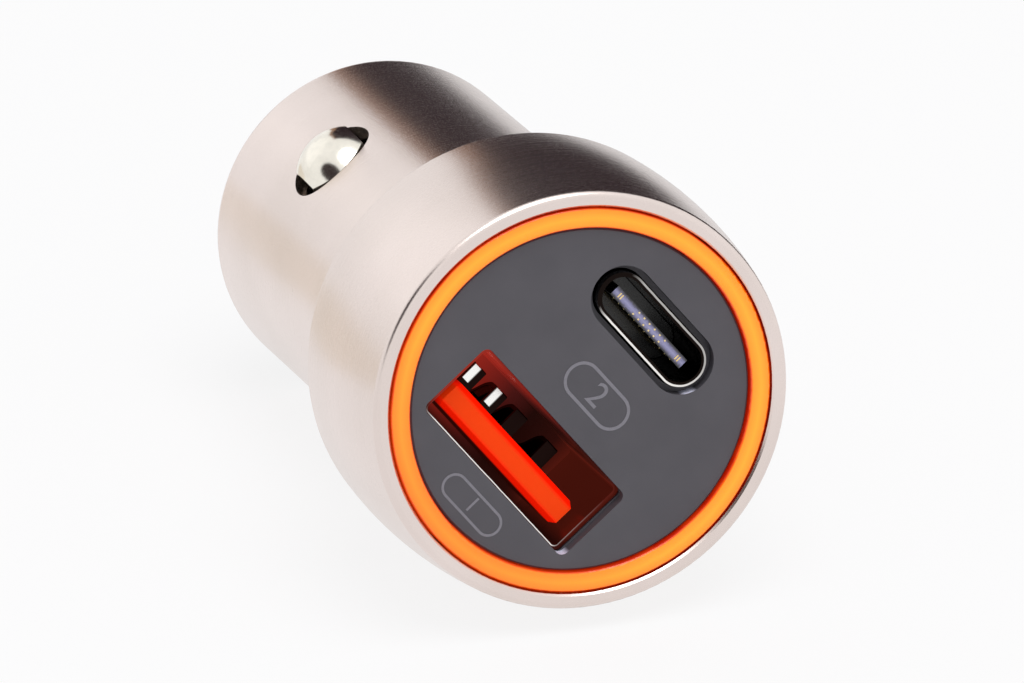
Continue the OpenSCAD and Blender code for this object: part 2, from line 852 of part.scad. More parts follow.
module usb_c_tongue() {
    inner_w = small_w - 2 * small_sheet - 2 * base_gap;
    inner_h = small_h - 2 * small_sheet - 2 * base_gap;
    color(port_black)
        lay_down()
            translate([0, small_offset, 0]) {
                translate([0, 0, small_back_z])
                    linear_extrude(small_base_z - small_back_z)
                        stadium(inner_w, inner_h);
                translate([-small_tongue_w / 2, -small_tongue_t / 2, small_base_z])
                    cube([small_tongue_w, small_tongue_t, small_tongue_len]);
            }
}

module usb_c_contacts() {
    strip_len = small_tongue_len - small_strip_back;
    color(gold)
        lay_down()
            for (i = [0 : small_contact_count - 1], side = [-1, 1])
                translate([
                    (i - (small_contact_count - 1) / 2) * small_contact_pitch - small_contact_w / 2,
                    small_offset + (side > 0 ? small_tongue_t / 2 : -small_tongue_t / 2 - small_contact_t),
                    small_base_z
                ])
                    cube([small_contact_w, small_contact_t, strip_len]);
}

module usb_c_board() {
    color(board_green)
        lay_down()
            translate([-small_board_w / 2, small_board_face_y - small_board_t, small_board_back_z])
                cube([small_board_w, small_board_t, board_front_z - small_board_back_z]);
}

module link_pins() {
    color(brass)
        lay_down()
            for (i = [0 : link_count - 1])
                translate([
                    (i - (link_count - 1) / 2) * link_pitch - link_pin_w / 2,
                    board_top_y,
                    link_z - link_pin_w / 2
                ])
                    cube([link_pin_w, small_board_face_y - small_board_t - board_top_y, link_pin_w]);
}

// Boards

module main_board() {
    color(board_green)
        lay_down()
            translate([0, board_top_y, 0])
                rotate([90, 0, 0])
                    linear_extrude(board_t)
                        difference() {
                            union() {
                                translate([-board_half_w, board_back_z])
                                    square([2 * board_half_w, board_front_z - board_back_z]);
                                translate([-board_head_half_w, board_step_z])
                                    square([2 * board_head_half_w, board_front_z - board_step_z]);
                            }
                            for (side = [-1, 1])
                                translate([
                                    side > 0 ? waist_w / 2 : -waist_w / 2 - board_half_w,
                                    side_z - notch_half_len
                                ])
                                    square([board_half_w, 2 * notch_half_len]);
                        }
}

// A pressed inductor: a square block with its four corners cut off
module inductor_block(w, h, cut) {
    difference() {
        centred_block(w, w, h);
        for (x = [-1, 1], y = [-1, 1])
            translate([x * w / 2, y * w / 2, -over])
                rotate([0, 0, 45])
                    centred_block(cut, cut, h + 2 * over);
    }
}

module power_inductor() {
    color(ferrite)
        lay_down()
            on_board(-1, power_coil_x, under_room_z)
                inductor_block(power_coil_w, power_coil_h, coil_corner_cut);
}

module filter_inductor() {
    color(ferrite)
        lay_down()
            on_board(-1, filter_coil_x, filter_coil_z)
                inductor_block(filter_coil_w, filter_coil_h, filter_corner_cut);
}

// A capacitor's can on its square foot, with the pressed groove near the foot
module capacitor_can(d, h) {
    centred_block(d, d, can_foot_h);
    translate([0, 0, can_foot_h])
        rotate_extrude($fn = small_fn)
            difference() {
                square([d / 2, h - can_foot_h]);
                translate([d / 2, can_groove_z])
                    circle(r = can_groove_r, $fn = small_fn);
            }
}

module input_capacitor() {
    color(can_silver)
        lay_down()
            on_board(1, input_can_x, top_room_z)
                capacitor_can(input_can_d, input_can_h);
}

module output_capacitors() {
    color(can_silver)
        lay_down()
            for (x = [output_can_x, output_can_x - output_can_d - part_gap])
                on_board(-1, x, board_back_z + output_can_d / 2 + 2 * part_margin)
                    capacitor_can(output_can_d, output_can_h);
}

module converter_chip() {
    color(chip_black)
        lay_down()
            on_board(1, converter_x, top_room_z)
                centred_block(converter_w, converter_len, chip_t);
}

module port_chip() {
    color(chip_black)
        lay_down()
            on_board(1, port_chip_x, (board_step_z + board_front_z) / 2)
                centred_block(port_chip_w, min(port_chip_w, board_front_z - board_step_z), chip_t);
}

module switch_transistors() {
    color(chip_black)
        lay_down()
            for (side = [-1, 1])
                on_board(-1, switch_x, top_room_z + side * switch_step)
                    centred_block(switch_w, switch_w, chip_t);
}

module fuse() {
    color(moulding_white)
        lay_down()
            on_board(1, fuse_x, board_back_z + fuse_len / 2 + part_margin)
                centred_block(fuse_w, fuse_len, fuse_w);
}

module resistors() {
    color(ferrite)
        lay_down()
            for (i = [0 : 3])
                on_board(1, resistor_x + resistor_pitch * i, board_back_z + resistor_len / 2 + part_margin)
                    centred_block(resistor_w, resistor_len, resistor_h);
}

// Side contacts

module contact_holder() {
    color(moulding_white)
        lay_down()
            translate([0, 0, side_z]) {
                translate([-seat_x - side_seat_t, board_top_y, -holder_len / 2])
                    cube([2 * (seat_x + side_seat_t), holder_top - board_top_y, holder_len]);
                for (side = [0, 180])
                    rotate([0, 0, side])
                        translate([seat_x, 0, 0])
                            rotate([0, 90, 0]) {
                                cylinder(r = side_seat_r, h = side_seat_t, $fn = small_fn);
                                cylinder(
                                    r = side_coil_r - side_wire / 2 - boss_gap,
                                    h = side_seat_t + boss_len,
                                    $fn = small_fn
                                );
                            }
            }
}

// Half section of a side contact's dome: radius from its own axis, then distance from the plug's axis
module dome_profile() {
    difference() {
        intersection() {
            translate([0, dome_x])
                circle(r = dome_r, $fn = round_fn);
            translate([0, foot_x - side_foot_t])
                square([side_body_r, dome_r + barrel_wall + over]);
        }
        translate([0, foot_x - side_foot_t - over])
            square([side_bore_r, side_bore_x - foot_x + side_foot_t + over]);
    }
}

module side_contact(turn) {
    color(nickel)
        lay_down()
            rotate([0, 0, turn])
                translate([0, 0, side_z]) {
                    intersection() {
                        rotate([0, 90, 0])
                            rotate_extrude($fn = round_fn)
                                dome_profile();
                        translate([0, -side_contact_w / 2, -dome_r])
                            cube([barrel_r + dome_r, side_contact_w, 2 * dome_r]);
                    }
                    difference() {
                        translate([foot_x - side_foot_t, -side_contact_w / 2, -side_foot_len / 2])
                            cube([side_foot_t, side_contact_w, side_foot_len]);
                        translate([foot_x - side_foot_t - over, 0, 0])
                            rotate([0, 90, 0])
                                cylinder(r = side_bore_r, h = side_foot_t + 2 * over, $fn = small_fn);
                    }
                }
}

module side_contact_right() {
    side_contact(0);
}

module side_contact_left() {
    side_contact(180);
}

module side_spring(turn) {
    color(nickel)
        lay_down()
            rotate([0, 0, turn])
                translate([seat_face_x + spring_gap, 0, side_z])
                    rotate([0, 90, 0])
                        coil(
                            side_coil_r,
                            side_wire,
                            side_turns,
                            side_bore_x - seat_face_x - 2 * spring_gap
                        );
}

module side_spring_right() {
    side_spring(0);
}

module side_spring_left() {
    side_spring(180);
}

// Tail

module positive_plate() {
    color(brass)
        lay_down() {
            translate([0, 0, plate_z])
                cylinder(r = plate_r, h = plate_t, $fn = small_fn);
            translate([-plate_tab_w / 2, board_top_y, plate_z])
                cube([plate_tab_w, plate_t, plate_t + plate_tab_len]);
        }
}

module centre_spring() {
    color(nickel)
        lay_down()
            translate([0, 0, collar_z + collar_t + spring_gap])
                coil(
                    centre_coil_r,
                    centre_wire,
                    centre_turns,
                    plate_z - collar_z - collar_t - 2 * spring_gap
                );
}

module centre_pin() {
    color(nickel)
        lay_down()
            rotate_extrude($fn = round_fn)
                union() {
                    intersection() {
                        translate([0, tip_z + tip_r])
                            circle(r = tip_r, $fn = round_fn);
                        translate([0, tip_z - over])
                            square([tip_r, tip_r + over]);
                    }
                    translate([0, tip_z + tip_r])
                        square([tip_r, collar_z - tip_z - tip_r]);
                    translate([0, collar_z])
                        square([collar_r, collar_t]);
                    translate([0, collar_z + collar_t])
                        square([spigot_r, spigot_len]);
                }
}

module tail_cap() {
    floor_z = cap_shoulder_z + cap_wall;
    color(moulding_black)
        lay_down()
            rotate_extrude($fn = round_fn)
                difference() {
                    round_edge([nose_end_r - nose_round, nose_z + nose_round], nose_round, -90, 0)
                        polygon([
                            [0, nose_z],
                            [nose_end_r, nose_z],
                            [nose_end_r, nose_z + nose_round],
                            [nose_base_r, cap_shoulder_z],
                            [cap_r, cap_shoulder_z],
                            [cap_r, cap_top_z],
                            [0, cap_top_z]
                        ]);
                    translate([0, nose_z - over])
                        square([tip_r + tip_clear, nose_len]);
                    translate([0, guide_z])
                        square([chamber_r, nose_len + cap_plug_len]);
                    // Moulding recess between the chamber's tube and the outer wall
                    translate([chamber_tube_r, floor_z])
                        square([cap_r - cap_wall - chamber_tube_r, cap_plug_len]);
                    translate([0, chamber_top_z])
                        square([chamber_tube_r + over, cap_plug_len]);
                }
}

shell();
front_panel();
light_ring();
port_carrier();
led_board();
leds();
led_leads();
usb_a_shell();
usb_a_tongue();
usb_a_contacts();
usb_c_shell();
usb_c_tongue();
usb_c_contacts();
usb_c_board();
link_pins();
main_board();
power_inductor();
filter_inductor();
input_capacitor();
output_capacitors();
converter_chip();
port_chip();
switch_transistors();
fuse();
resistors();
contact_holder();
side_contact_right();
side_contact_left();
side_spring_right();
side_spring_left();
positive_plate();
centre_spring();
centre_pin();
tail_cap();
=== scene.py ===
# %% [markdown]
# # Dressing a charger plug for a car socket
# The solids come from CAD and stay as they are. This file gives each of them the finish of the
# real piece, and makes in Blender what repeats or bends: springs, contacts, sawn ends and print.
# It is read from top to bottom, one small step in each cell.

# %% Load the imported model
import math

import bpy
from mathutils import Matrix, Vector


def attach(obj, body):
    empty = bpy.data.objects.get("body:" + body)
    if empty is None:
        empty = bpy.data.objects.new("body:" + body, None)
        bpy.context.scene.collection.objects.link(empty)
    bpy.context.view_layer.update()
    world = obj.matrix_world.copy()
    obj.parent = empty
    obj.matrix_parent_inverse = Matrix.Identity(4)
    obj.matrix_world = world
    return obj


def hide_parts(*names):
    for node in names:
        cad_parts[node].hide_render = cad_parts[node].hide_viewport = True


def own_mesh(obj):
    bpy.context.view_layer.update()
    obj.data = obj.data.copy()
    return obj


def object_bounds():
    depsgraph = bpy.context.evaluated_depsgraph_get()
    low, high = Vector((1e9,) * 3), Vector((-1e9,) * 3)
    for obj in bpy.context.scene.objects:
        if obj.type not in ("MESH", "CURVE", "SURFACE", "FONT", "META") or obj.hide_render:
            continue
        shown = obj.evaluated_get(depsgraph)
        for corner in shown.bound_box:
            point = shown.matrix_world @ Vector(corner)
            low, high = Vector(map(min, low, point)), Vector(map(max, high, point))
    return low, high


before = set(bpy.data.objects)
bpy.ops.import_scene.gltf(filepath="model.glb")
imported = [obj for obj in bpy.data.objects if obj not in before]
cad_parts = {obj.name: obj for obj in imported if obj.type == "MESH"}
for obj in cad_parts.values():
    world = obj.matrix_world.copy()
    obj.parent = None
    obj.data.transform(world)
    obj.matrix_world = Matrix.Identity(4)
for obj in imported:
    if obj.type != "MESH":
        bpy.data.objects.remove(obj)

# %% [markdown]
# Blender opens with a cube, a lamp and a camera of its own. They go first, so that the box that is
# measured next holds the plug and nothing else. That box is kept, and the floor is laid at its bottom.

for leftover in ("Cube", "Light", "Camera"):
    if leftover in bpy.data.objects:
        bpy.data.objects.remove(bpy.data.objects[leftover])
cad_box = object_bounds()
print("CAD box in mm:", [[round(1000 * c, 2) for c in corner] for corner in cad_box])

# %% [markdown]
# The plug lies on its side, so its axis runs aslant through the scene. Patterns and small pieces are
# much easier to think of along that axis. "Plug space" is in millimetres, has its origin on the axis
# at the shoulder, +Z out of the face and +X along the two ports. One matrix leads from there to the
# scene, and its inverse, used in the materials, leads back.

# %% Plug space
LEAN = math.radians(5.8425)
ROLL = math.radians(38.7 - 90)
MM = 0.001
lay_turn = Matrix.Rotation(math.pi / 2 - LEAN, 4, "X") @ Matrix.Rotation(ROLL, 4, "Z")
LAY = lay_turn @ Matrix.Scale(MM, 4)
BACK = lay_turn.to_3x3().transposed().to_euler("XYZ")
print("The plug's axis in the scene:", [round(c, 4) for c in lay_turn.to_3x3() @ Vector((0, 0, 1))])

# %% [markdown]
# The sizes below are the ones that the solids were made with. A piece that is grown in Blender takes
# the place of its solid from them, and a pattern that belongs to a place on the plug does too.

# %% Sizes of the plug, in millimetres
HEAD_LEN, PANEL_Z = 12.8, 12.4
RING_IN, RING_OUT = 10.79, 12.05
RING_MID = (RING_IN + RING_OUT) / 2
WIDE_Y, WIDE_REACH, WIDE_BASE_Z, WIDE_TIP_Z = -4.6, 6.5, 3.3, 10.8
WIDE_FACE_Y, WIDE_TONGUE_Y = -4.51, -5.43
SMALL_Y, SMALL_BASE_Z, SMALL_TIP_Z = 6.06, 7.0, 11.7
HAIR = 0.01  # tells a face from what lies behind it

# %% [markdown]
# A colour is chosen on screen as sRGB, but a shader reckons in linear light. One function turns the
# first into the second, so that every colour in this file can be written as it looks.

# %% Colours
def colour(code):
    def straighten(c):
        return c / 12.92 if c <= 0.04045 else ((c + 0.055) / 1.055) ** 2.4
    parts = [int(code[i:i + 2], 16) / 255 for i in (1, 3, 5)]
    return (*[straighten(c) for c in parts], 1.0)


# %% [markdown]
# Node trees are long to write one call at a time. The first helper fills the inputs of a node: an
# output of another node is linked, a node stands for its first output, and anything else is set as a
# value. The second adds a node with its settings, its colour stops if it is a ramp, and its inputs.
# They are all that the materials and the geometry trees below need. The kinds of node that come up
# most often get short names first.

# %% Helpers for nodes
NOISE, RANGE, RAMP = "ShaderNodeTexNoise", "ShaderNodeMapRange", "ShaderNodeValToRGB"
MATH, MIX, BUMP, VECTOR = "ShaderNodeMath", "ShaderNodeMix", "ShaderNodeBump", "ShaderNodeVectorMath"
PARTS, POINT = "ShaderNodeSeparateXYZ", "ShaderNodeCombineXYZ"
COLOURS = {"data_type": "RGBA"}


def join(tree, node, **inputs):
    for key, value in inputs.items():
        place = int(key[1:]) if key[0] == "i" and key[1:].isdigit() else key.replace("_", " ")
        if isinstance(value, bpy.types.Node):
            value = value.outputs[0]
        if isinstance(value, bpy.types.NodeSocket):
            tree.links.new(value, node.inputs[place])
        else:
            node.inputs[place].default_value = value


def add(tree, kind, settings=None, stops=(), **inputs):
    node = tree.nodes.new(kind)
    for name, value in (settings or {}).items():
        setattr(node, name, value)
    for index, (place, code) in enumerate(stops):
        ramp = node.color_ramp.elements
        stop = ramp[index] if index < 2 else ramp.new(place)
        stop.position, stop.color = place, colour(code)
    join(tree, node, **inputs)
    return node


# %% [markdown]
# Every finish starts from a Principled shader and from plug space: Object coordinates, which are the
# scene's metres, turned back and scaled to millimetres by a Mapping node. The constants of a finish,
# such as metallic, are set on the shader itself, because the export keeps only those. Many patterns
# follow the distance from the plug's axis, or from another line beside it.

# %% Start of a finish
def finish(name, **constants):
    material = bpy.data.materials.new(name)
    material.use_nodes = True
    tree = material.node_tree
    shader = tree.nodes["Principled BSDF"]
    join(tree, shader, **constants)
    where = add(tree, "ShaderNodeTexCoord").outputs["Object"]
    plug = add(tree, "ShaderNodeMapping", i0=where, Rotation=BACK, Scale=(1000, 1000, 1000))
    return material, tree, shader, plug


def distance_from_axis(tree, plug, centre=(0, 0)):
    moved = add(tree, VECTOR, {"operation": "SUBTRACT"}, i0=plug, i1=(*centre, 0))
    flat = add(tree, VECTOR, {"operation": "MULTIPLY"}, i0=moved, i1=(1, 1, 0))
    return add(tree, VECTOR, {"operation": "LENGTH"}, i0=flat).outputs["Value"]


# %% [markdown]
# The body is aluminium, turned on a lathe, blasted very finely and plated in champagne nickel. The
# eye sees a warm pale metal with a silky sheen: the reflection is soft, and faint rings from the
# cutting tool draw it out round the axis. The rings are a noise that changes only along the axis and
# across it. Real ones are some 0.05 mm apart, and they are drawn at 0.12 mm so that they still show.

# %% Champagne nickel on turned aluminium
def turned_champagne():
    material, tree, shader, plug = finish("champagne_nickel_turned", Metallic=1.0)
    along = add(tree, PARTS, Vector=plug).outputs["Z"]
    lathe = add(tree, POINT, X=distance_from_axis(tree, plug), Y=along)
    rings = add(tree, NOISE, Vector=lathe, Scale=8.0, Detail=3.0, Roughness=0.6)
    grit = add(tree, NOISE, Vector=plug, Scale=22.0, Detail=1.0)
    cloud = add(tree, NOISE, Vector=plug, Scale=0.12)
    tint = add(tree, RAMP, stops=[(0.3, "#E0D3CD"), (0.7, "#E7DAD5")], Fac=cloud)
    drawn = add(tree, RANGE, Value=rings, To_Min=-0.03, To_Max=0.03)
    blasted = add(tree, RANGE, Value=grit, To_Min=0.22, To_Max=0.3)
    silk = add(tree, MATH, i0=drawn, i1=blasted)
    height = add(tree, MATH, {"operation": "MULTIPLY_ADD"}, i0=grit, i1=0.6, i2=rings)
    relief = add(tree, BUMP, Height=height, Distance=0.0016 * MM, Strength=1.0)
    join(tree, shader, Base_Color=tint, Roughness=silk, Normal=relief)
    return material


# %% [markdown]
# The face plate is moulded polycarbonate with fibre in it, sparked to a fine matt. It reads as a flat
# slate grey with almost no gloss. The texture of the mould is 0.08 mm grit. On the wall of each
# cut-out, near its lower corner, a small pale spot is painted in: a painted glint.

# %% Slate polycarbonate, moulded matt
# Places of the two painted glints, in plug space.
GLINT_SPOTS = ((6.6, -7.15), (4.68, 5.11))


def slate_plate():
    material, tree, shader, plug = finish("slate_polycarbonate", IOR=1.52)
    grit = add(tree, NOISE, Vector=plug, Scale=13.0, Roughness=0.6)
    patch = add(tree, NOISE, Vector=plug, Scale=0.35)
    tint = add(tree, RAMP, stops=[(0.25, "#4A484E"), (0.75, "#504E54")], Fac=patch)
    depth = add(tree, PARTS, Vector=plug).outputs["Z"]
    on_wall = add(tree, MATH, {"operation": "LESS_THAN"}, i0=depth, i1=PANEL_Z - HAIR)
    # Painted glints: a pale spot on the cut-out's wall, full within 0.2 mm of each point and gone by 0.55 mm.
    for spot in GLINT_SPOTS:
        near = add(tree, RANGE, Value=distance_from_axis(tree, plug, spot), From_Min=0.55, From_Max=0.2)
        painted_glint = add(tree, MATH, {"operation": "MULTIPLY"}, i0=near, i1=on_wall)
        tint = add(tree, MIX, COLOURS, i0=painted_glint, i6=tint, i7=colour("#E6E8FF")).outputs[2]
    gloss = add(tree, RANGE, Value=grit, To_Min=0.42, To_Max=0.56)
    relief = add(tree, BUMP, Height=grit, Distance=0.004 * MM, Strength=0.5)
    join(tree, shader, Base_Color=tint, Roughness=gloss, Normal=relief)
    return material


# %% [markdown]
# The light ring is tinted acrylic over lamps. Where the wall is thick the eye sees amber, and along
# both edges, where light leaves through a longer way of tint, a red rim. The colour follows the
# distance from the plug's axis. Under the wide port the lamps stand further apart, and the ring is a
# little redder there. The glow is low and comes from the same colour, so the ring is lit and still has
# a surface.

# %% Amber acrylic of the light ring
def amber_acrylic():
    material, tree, shader, plug = finish("amber_acrylic", IOR=1.45, Coat_Weight=0.1, Emission_Strength=0.36)
    across = add(tree, RANGE, Value=distance_from_axis(tree, plug), From_Min=RING_IN, From_Max=RING_OUT)
    drift = add(tree, NOISE, Vector=plug, Scale=0.5, Detail=1.0)
    drift = add(tree, RANGE, Value=drift, To_Min=-0.03, To_Max=0.03)
    tint = add(tree, RAMP, Fac=add(tree, MATH, i0=across, i1=drift), stops=[
        (0.0, "#B81C00"), (1.0, "#9A1400"), (0.04, "#E84A08"), (0.1, "#FB8E1C"),
        (0.5, "#FFA226"), (0.89, "#FA8A1A"), (0.955, "#DC3C06"),
    ])
    height = add(tree, PARTS, Vector=plug).outputs["Y"]
    low = add(tree, RANGE, Value=height, From_Min=-3.0, From_Max=-RING_OUT, To_Max=0.4)
    tint = add(tree, MIX, COLOURS, i0=low, i6=tint, i7=colour("#E84E0A")).outputs[2]
    ripple = add(tree, NOISE, Vector=plug, Scale=1.6, Detail=1.0)
    gloss = add(tree, RANGE, Value=ripple, To_Min=0.14, To_Max=0.24)
    relief = add(tree, BUMP, Height=ripple, Distance=0.004 * MM, Strength=0.4)
    join(tree, shader, Base_Color=tint, Emission_Color=tint, Roughness=gloss, Normal=relief)
    return material


# %% [markdown]
# Port shells are deep drawn from stainless strip and nickel plated. They are bright, with fine lines
# along the way the plug slides. Roughness is low, and the lines are a noise stretched along the axis.

# %% Bright drawn steel
def drawn_lines(tree, plug):
    slid = add(tree, "ShaderNodeMapping", i0=plug, Scale=(1.0, 1.0, 0.08))
    return add(tree, NOISE, Vector=slid, Scale=9.0, Detail=3.0, Roughness=0.6)


def drawn_steel(name, code_low, code_high, rough):
    material, tree, shader, plug = finish(name, Metallic=1.0)
    lines = drawn_lines(tree, plug)
    tint = add(tree, RAMP, stops=[(0.3, code_low), (0.7, code_high)], Fac=lines)
    gloss = add(tree, RANGE, Value=lines, To_Min=rough - 0.05, To_Max=rough + 0.07)
    relief = add(tree, BUMP, Height=lines, Distance=0.0015 * MM, Strength=1.0)
    join(tree, shader, Base_Color=tint, Roughness=gloss, Normal=relief)
    return material


# %% [markdown]
# The lip of a port shell is a cut edge, coloured dark and dull, and a thin painted highlight runs
# along it. The line follows the opening, so it is drawn from the distance to the
# middle of the sheet: a rounded oblong, whose distance is the classic sum of an outer and an inner
# part. The painted highlight is stronger on one flank of the lip than on the other, and weaker at the
# ends. Behind the lip, the walls get painted shade that grows with depth, and the wide port's walls
# also carry a painted red glow.

# %% Painted red glow inside the wide port
def painted_red_glow(tree, plug):
    # A painted red glow: bright at the port's -X end, darkest past its middle, and dark along the flank away from
    # the plug's axis.
    part = add(tree, PARTS, Vector=plug).outputs
    along = add(tree, RANGE, Value=part["X"], From_Min=-WIDE_REACH, From_Max=WIDE_REACH)
    light = add(tree, RAMP, Fac=along, stops=[
        (0.0, "#A63226"), (1.0, "#52180F"), (0.3, "#8A2118"),
        (0.55, "#421210"), (0.7, "#180705"), (0.88, "#260B08"),
    ])
    flank = add(tree, RANGE, Value=part["Y"], From_Min=WIDE_Y - 1.4, From_Max=WIDE_Y - 2.4)
    return add(tree, MIX, COLOURS, i0=flank, i6=light, i7=colour("#220B08")).outputs[2]


# %% Distance from a rounded oblong
def distance_from_oblong(tree, x, y, half_x, half_y, corner):
    over = []
    for value, half in ((x, half_x), (y, half_y)):
        off = add(tree, MATH, {"operation": "ABSOLUTE"}, i0=value)
        over.append(add(tree, MATH, i0=off, i1=corner - half))
    outside = [add(tree, MATH, {"operation": "MAXIMUM"}, i0=value, i1=0.0) for value in over]
    way_out = add(tree, POINT, X=outside[0], Y=outside[1])
    outer = add(tree, VECTOR, {"operation": "LENGTH"}, i0=way_out).outputs["Value"]
    larger = add(tree, MATH, {"operation": "MAXIMUM"}, i0=over[0], i1=over[1])
    inner = add(tree, MATH, {"operation": "MINIMUM"}, i0=larger, i1=0.0)
    return add(tree, MATH, i0=add(tree, MATH, i0=outer, i1=inner), i1=-corner)


# %% The painted highlight along a lip
LIP_REACH = 0.16  # mm to each side of the sheet's middle, over which the line's ramp runs
LINE_FADE = 0.04  # share of that ramp over which the line fades


def painted_lip_highlight(tree, plug, x, y, half_x, half_y, corner, line, flanks, ends):
    # A painted highlight along the lip: full on one flank, fading towards the other, and weaker at the ends.
    off = distance_from_oblong(tree, x, y, half_x, half_y, corner)
    wander = add(tree, RANGE, Value=add(tree, NOISE, Vector=plug, Scale=1.3), To_Min=-0.02, To_Max=0.02)
    place = add(tree, RANGE, Value=add(tree, MATH, i0=off, i1=wander), From_Min=-LIP_REACH, From_Max=LIP_REACH)
    low, high = line
    lip_highlight = add(tree, RAMP, Fac=place, stops=[
        (low - LINE_FADE, "#000000"), (high + LINE_FADE, "#000000"), (low, "#FFFFFF"), (high, "#FFFFFF")])
    near_end = add(tree, RANGE, Value=x, From_Min=ends[0] - half_x, From_Max=ends[0] + 1 - half_x)
    far_end = add(tree, RANGE, Value=x, From_Min=half_x - 0.4, From_Max=half_x - 0.1, To_Min=1.0, To_Max=ends[1])
    flank = add(tree, RANGE, Value=y, From_Min=-half_y, From_Max=0.6 * half_y, To_Min=flanks[0], To_Max=flanks[1])
    for share in (near_end, far_end, flank):
        lip_highlight = add(tree, MATH, {"operation": "MULTIPLY"}, i0=lip_highlight, i1=share)
    return lip_highlight


# %% Port shells with a painted lip highlight and painted shade
WALL_FADE = 6.0  # mm over which the walls darken


def port_shell(name, centre_y, front_z, codes, lit=False, **lip_sizes):
    material, tree, shader, plug = finish(name, Metallic=1.0, Emission_Strength=0.7 if lit else 0.0)
    lip_code, wall_code, deep_code = codes
    part = add(tree, PARTS, Vector=plug).outputs
    across = add(tree, MATH, i0=part["Y"], i1=-centre_y)
    lip_highlight = painted_lip_highlight(tree, plug, part["X"], across, **lip_sizes)
    lip = add(tree, MIX, COLOURS, i0=lip_highlight, i6=colour(lip_code), i7=colour("#F6F3EF")).outputs[2]
    # Painted shade: the walls darken with depth behind the lip.
    depth = add(tree, RANGE, Value=part["Z"], From_Min=front_z, From_Max=front_z - WALL_FADE)
    wall = add(tree, RAMP, stops=[(0.0, wall_code), (1.0, deep_code)], Fac=depth)
    at_lip = add(tree, MATH, {"operation": "GREATER_THAN"}, i0=part["Z"], i1=front_z - 2 * HAIR)
    tint = add(tree, MIX, COLOURS, i0=at_lip, i6=wall, i7=lip).outputs[2]
    lines = drawn_lines(tree, plug)
    gloss = add(tree, RANGE, Value=lines, To_Min=0.1, To_Max=0.22)
    relief = add(tree, BUMP, Height=lines, Distance=0.0012 * MM, Strength=1.0)
    join(tree, shader, Base_Color=tint, Roughness=gloss, Normal=relief)
    if lit:
        # The painted red glow lies on the walls, but not on the lip highlight.
        light = add(tree, MIX, COLOURS, i0=lip_highlight, i6=painted_red_glow(tree, plug), i7=colour("#000000"))
        join(tree, shader, Emission_Color=light.outputs[2])
    return material


# %% [markdown]
# The wide port's tongue is moulded in a bright orange-red nylon. Its glow is painted: the nylon is
# given emission, and its bevels are coloured and painted to glow a purer red than its flat face. The
# bevels are found from their place: they are the last 0.3 mm next to the tongue's edges. Deeper in the
# port the nylon gets painted shade, and the block at its foot is painted dark and given the painted red glow.

# %% Orange-red nylon of the wide tongue
def red_nylon():
    material, tree, shader, plug = finish(
        "orange_red_nylon", IOR=1.4, Specular_IOR_Level=0.1, Emission_Strength=1.0)
    part = add(tree, PARTS, Vector=plug).outputs
    middle = add(tree, MATH, i0=part["Y"], i1=-WIDE_TONGUE_Y)
    off = add(tree, MATH, {"operation": "ABSOLUTE"}, i0=middle)
    bevel = add(tree, RANGE, Value=off, From_Min=0.42, From_Max=0.7)
    flow = add(tree, RANGE, Value=add(tree, NOISE, Vector=plug, Scale=0.8), To_Min=-0.08, To_Max=0.08)
    mixed = add(tree, MATH, i0=bevel, i1=flow)
    # Painted shade deeper in the port. The foot block is painted dark and glows with the painted red glow.
    sunk = add(tree, RANGE, Value=part["Z"], From_Min=WIDE_TIP_Z - 0.35, From_Max=WIDE_TIP_Z - 2.2)
    block = add(tree, RANGE, Value=part["Z"], From_Min=WIDE_BASE_Z + 0.3, From_Max=WIDE_BASE_Z)
    # The emission colours are a painted glow, redder and stronger on the bevels.
    faces = {"Base_Color": ([(0.0, "#FF430C"), (1.0, "#F51600")], "#520C05", colour("#3A0A06")),
             "Emission_Color": ([(0.0, "#761F02"), (1.0, "#B81000")], "#1C0402", painted_red_glow(tree, plug))}
    for socket, (stops, deep, foot) in faces.items():
        tint = add(tree, RAMP, stops=stops, Fac=mixed)
        tint = add(tree, MIX, COLOURS, i0=sunk, i6=tint, i7=colour(deep)).outputs[2]
        tint = add(tree, MIX, COLOURS, i0=block, i6=tint, i7=foot).outputs[2]
        join(tree, shader, **{socket: tint})
    grit = add(tree, NOISE, Vector=plug, Scale=14.0, Detail=1.0)
    gloss = add(tree, RANGE, Value=grit, To_Min=0.36, To_Max=0.46)
    relief = add(tree, BUMP, Height=grit, Distance=0.002 * MM, Strength=0.5)
    join(tree, shader, Roughness=gloss, Normal=relief)
    return material


# %% [markdown]
# Black mouldings, chips and the tail cap are all dark plastics that differ in gloss, tint and grit.
# One function makes them, and each call names the real material.

# %% Dark and pale mouldings
def moulded(name, code_low, code_high, rough, grit_scale, ior=1.5, depth=0.004):
    material, tree, shader, plug = finish(name, IOR=ior)
    grit = add(tree, NOISE, Vector=plug, Scale=grit_scale, Roughness=0.55)
    flow = add(tree, NOISE, Vector=plug, Scale=0.4)
    tint = add(tree, RAMP, stops=[(0.3, code_low), (0.7, code_high)], Fac=flow)
    gloss = add(tree, RANGE, Value=grit, To_Min=rough - 0.06, To_Max=rough + 0.08)
    relief = add(tree, BUMP, Height=grit, Distance=depth * MM, Strength=0.6)
    join(tree, shader, Base_Color=tint, Roughness=gloss, Normal=relief)
    return material


# %% [markdown]
# Plated metals, from gold flash to bright nickel and brass, share a tree too: a clean metal with a
# light haze where fingers and sockets rub it.

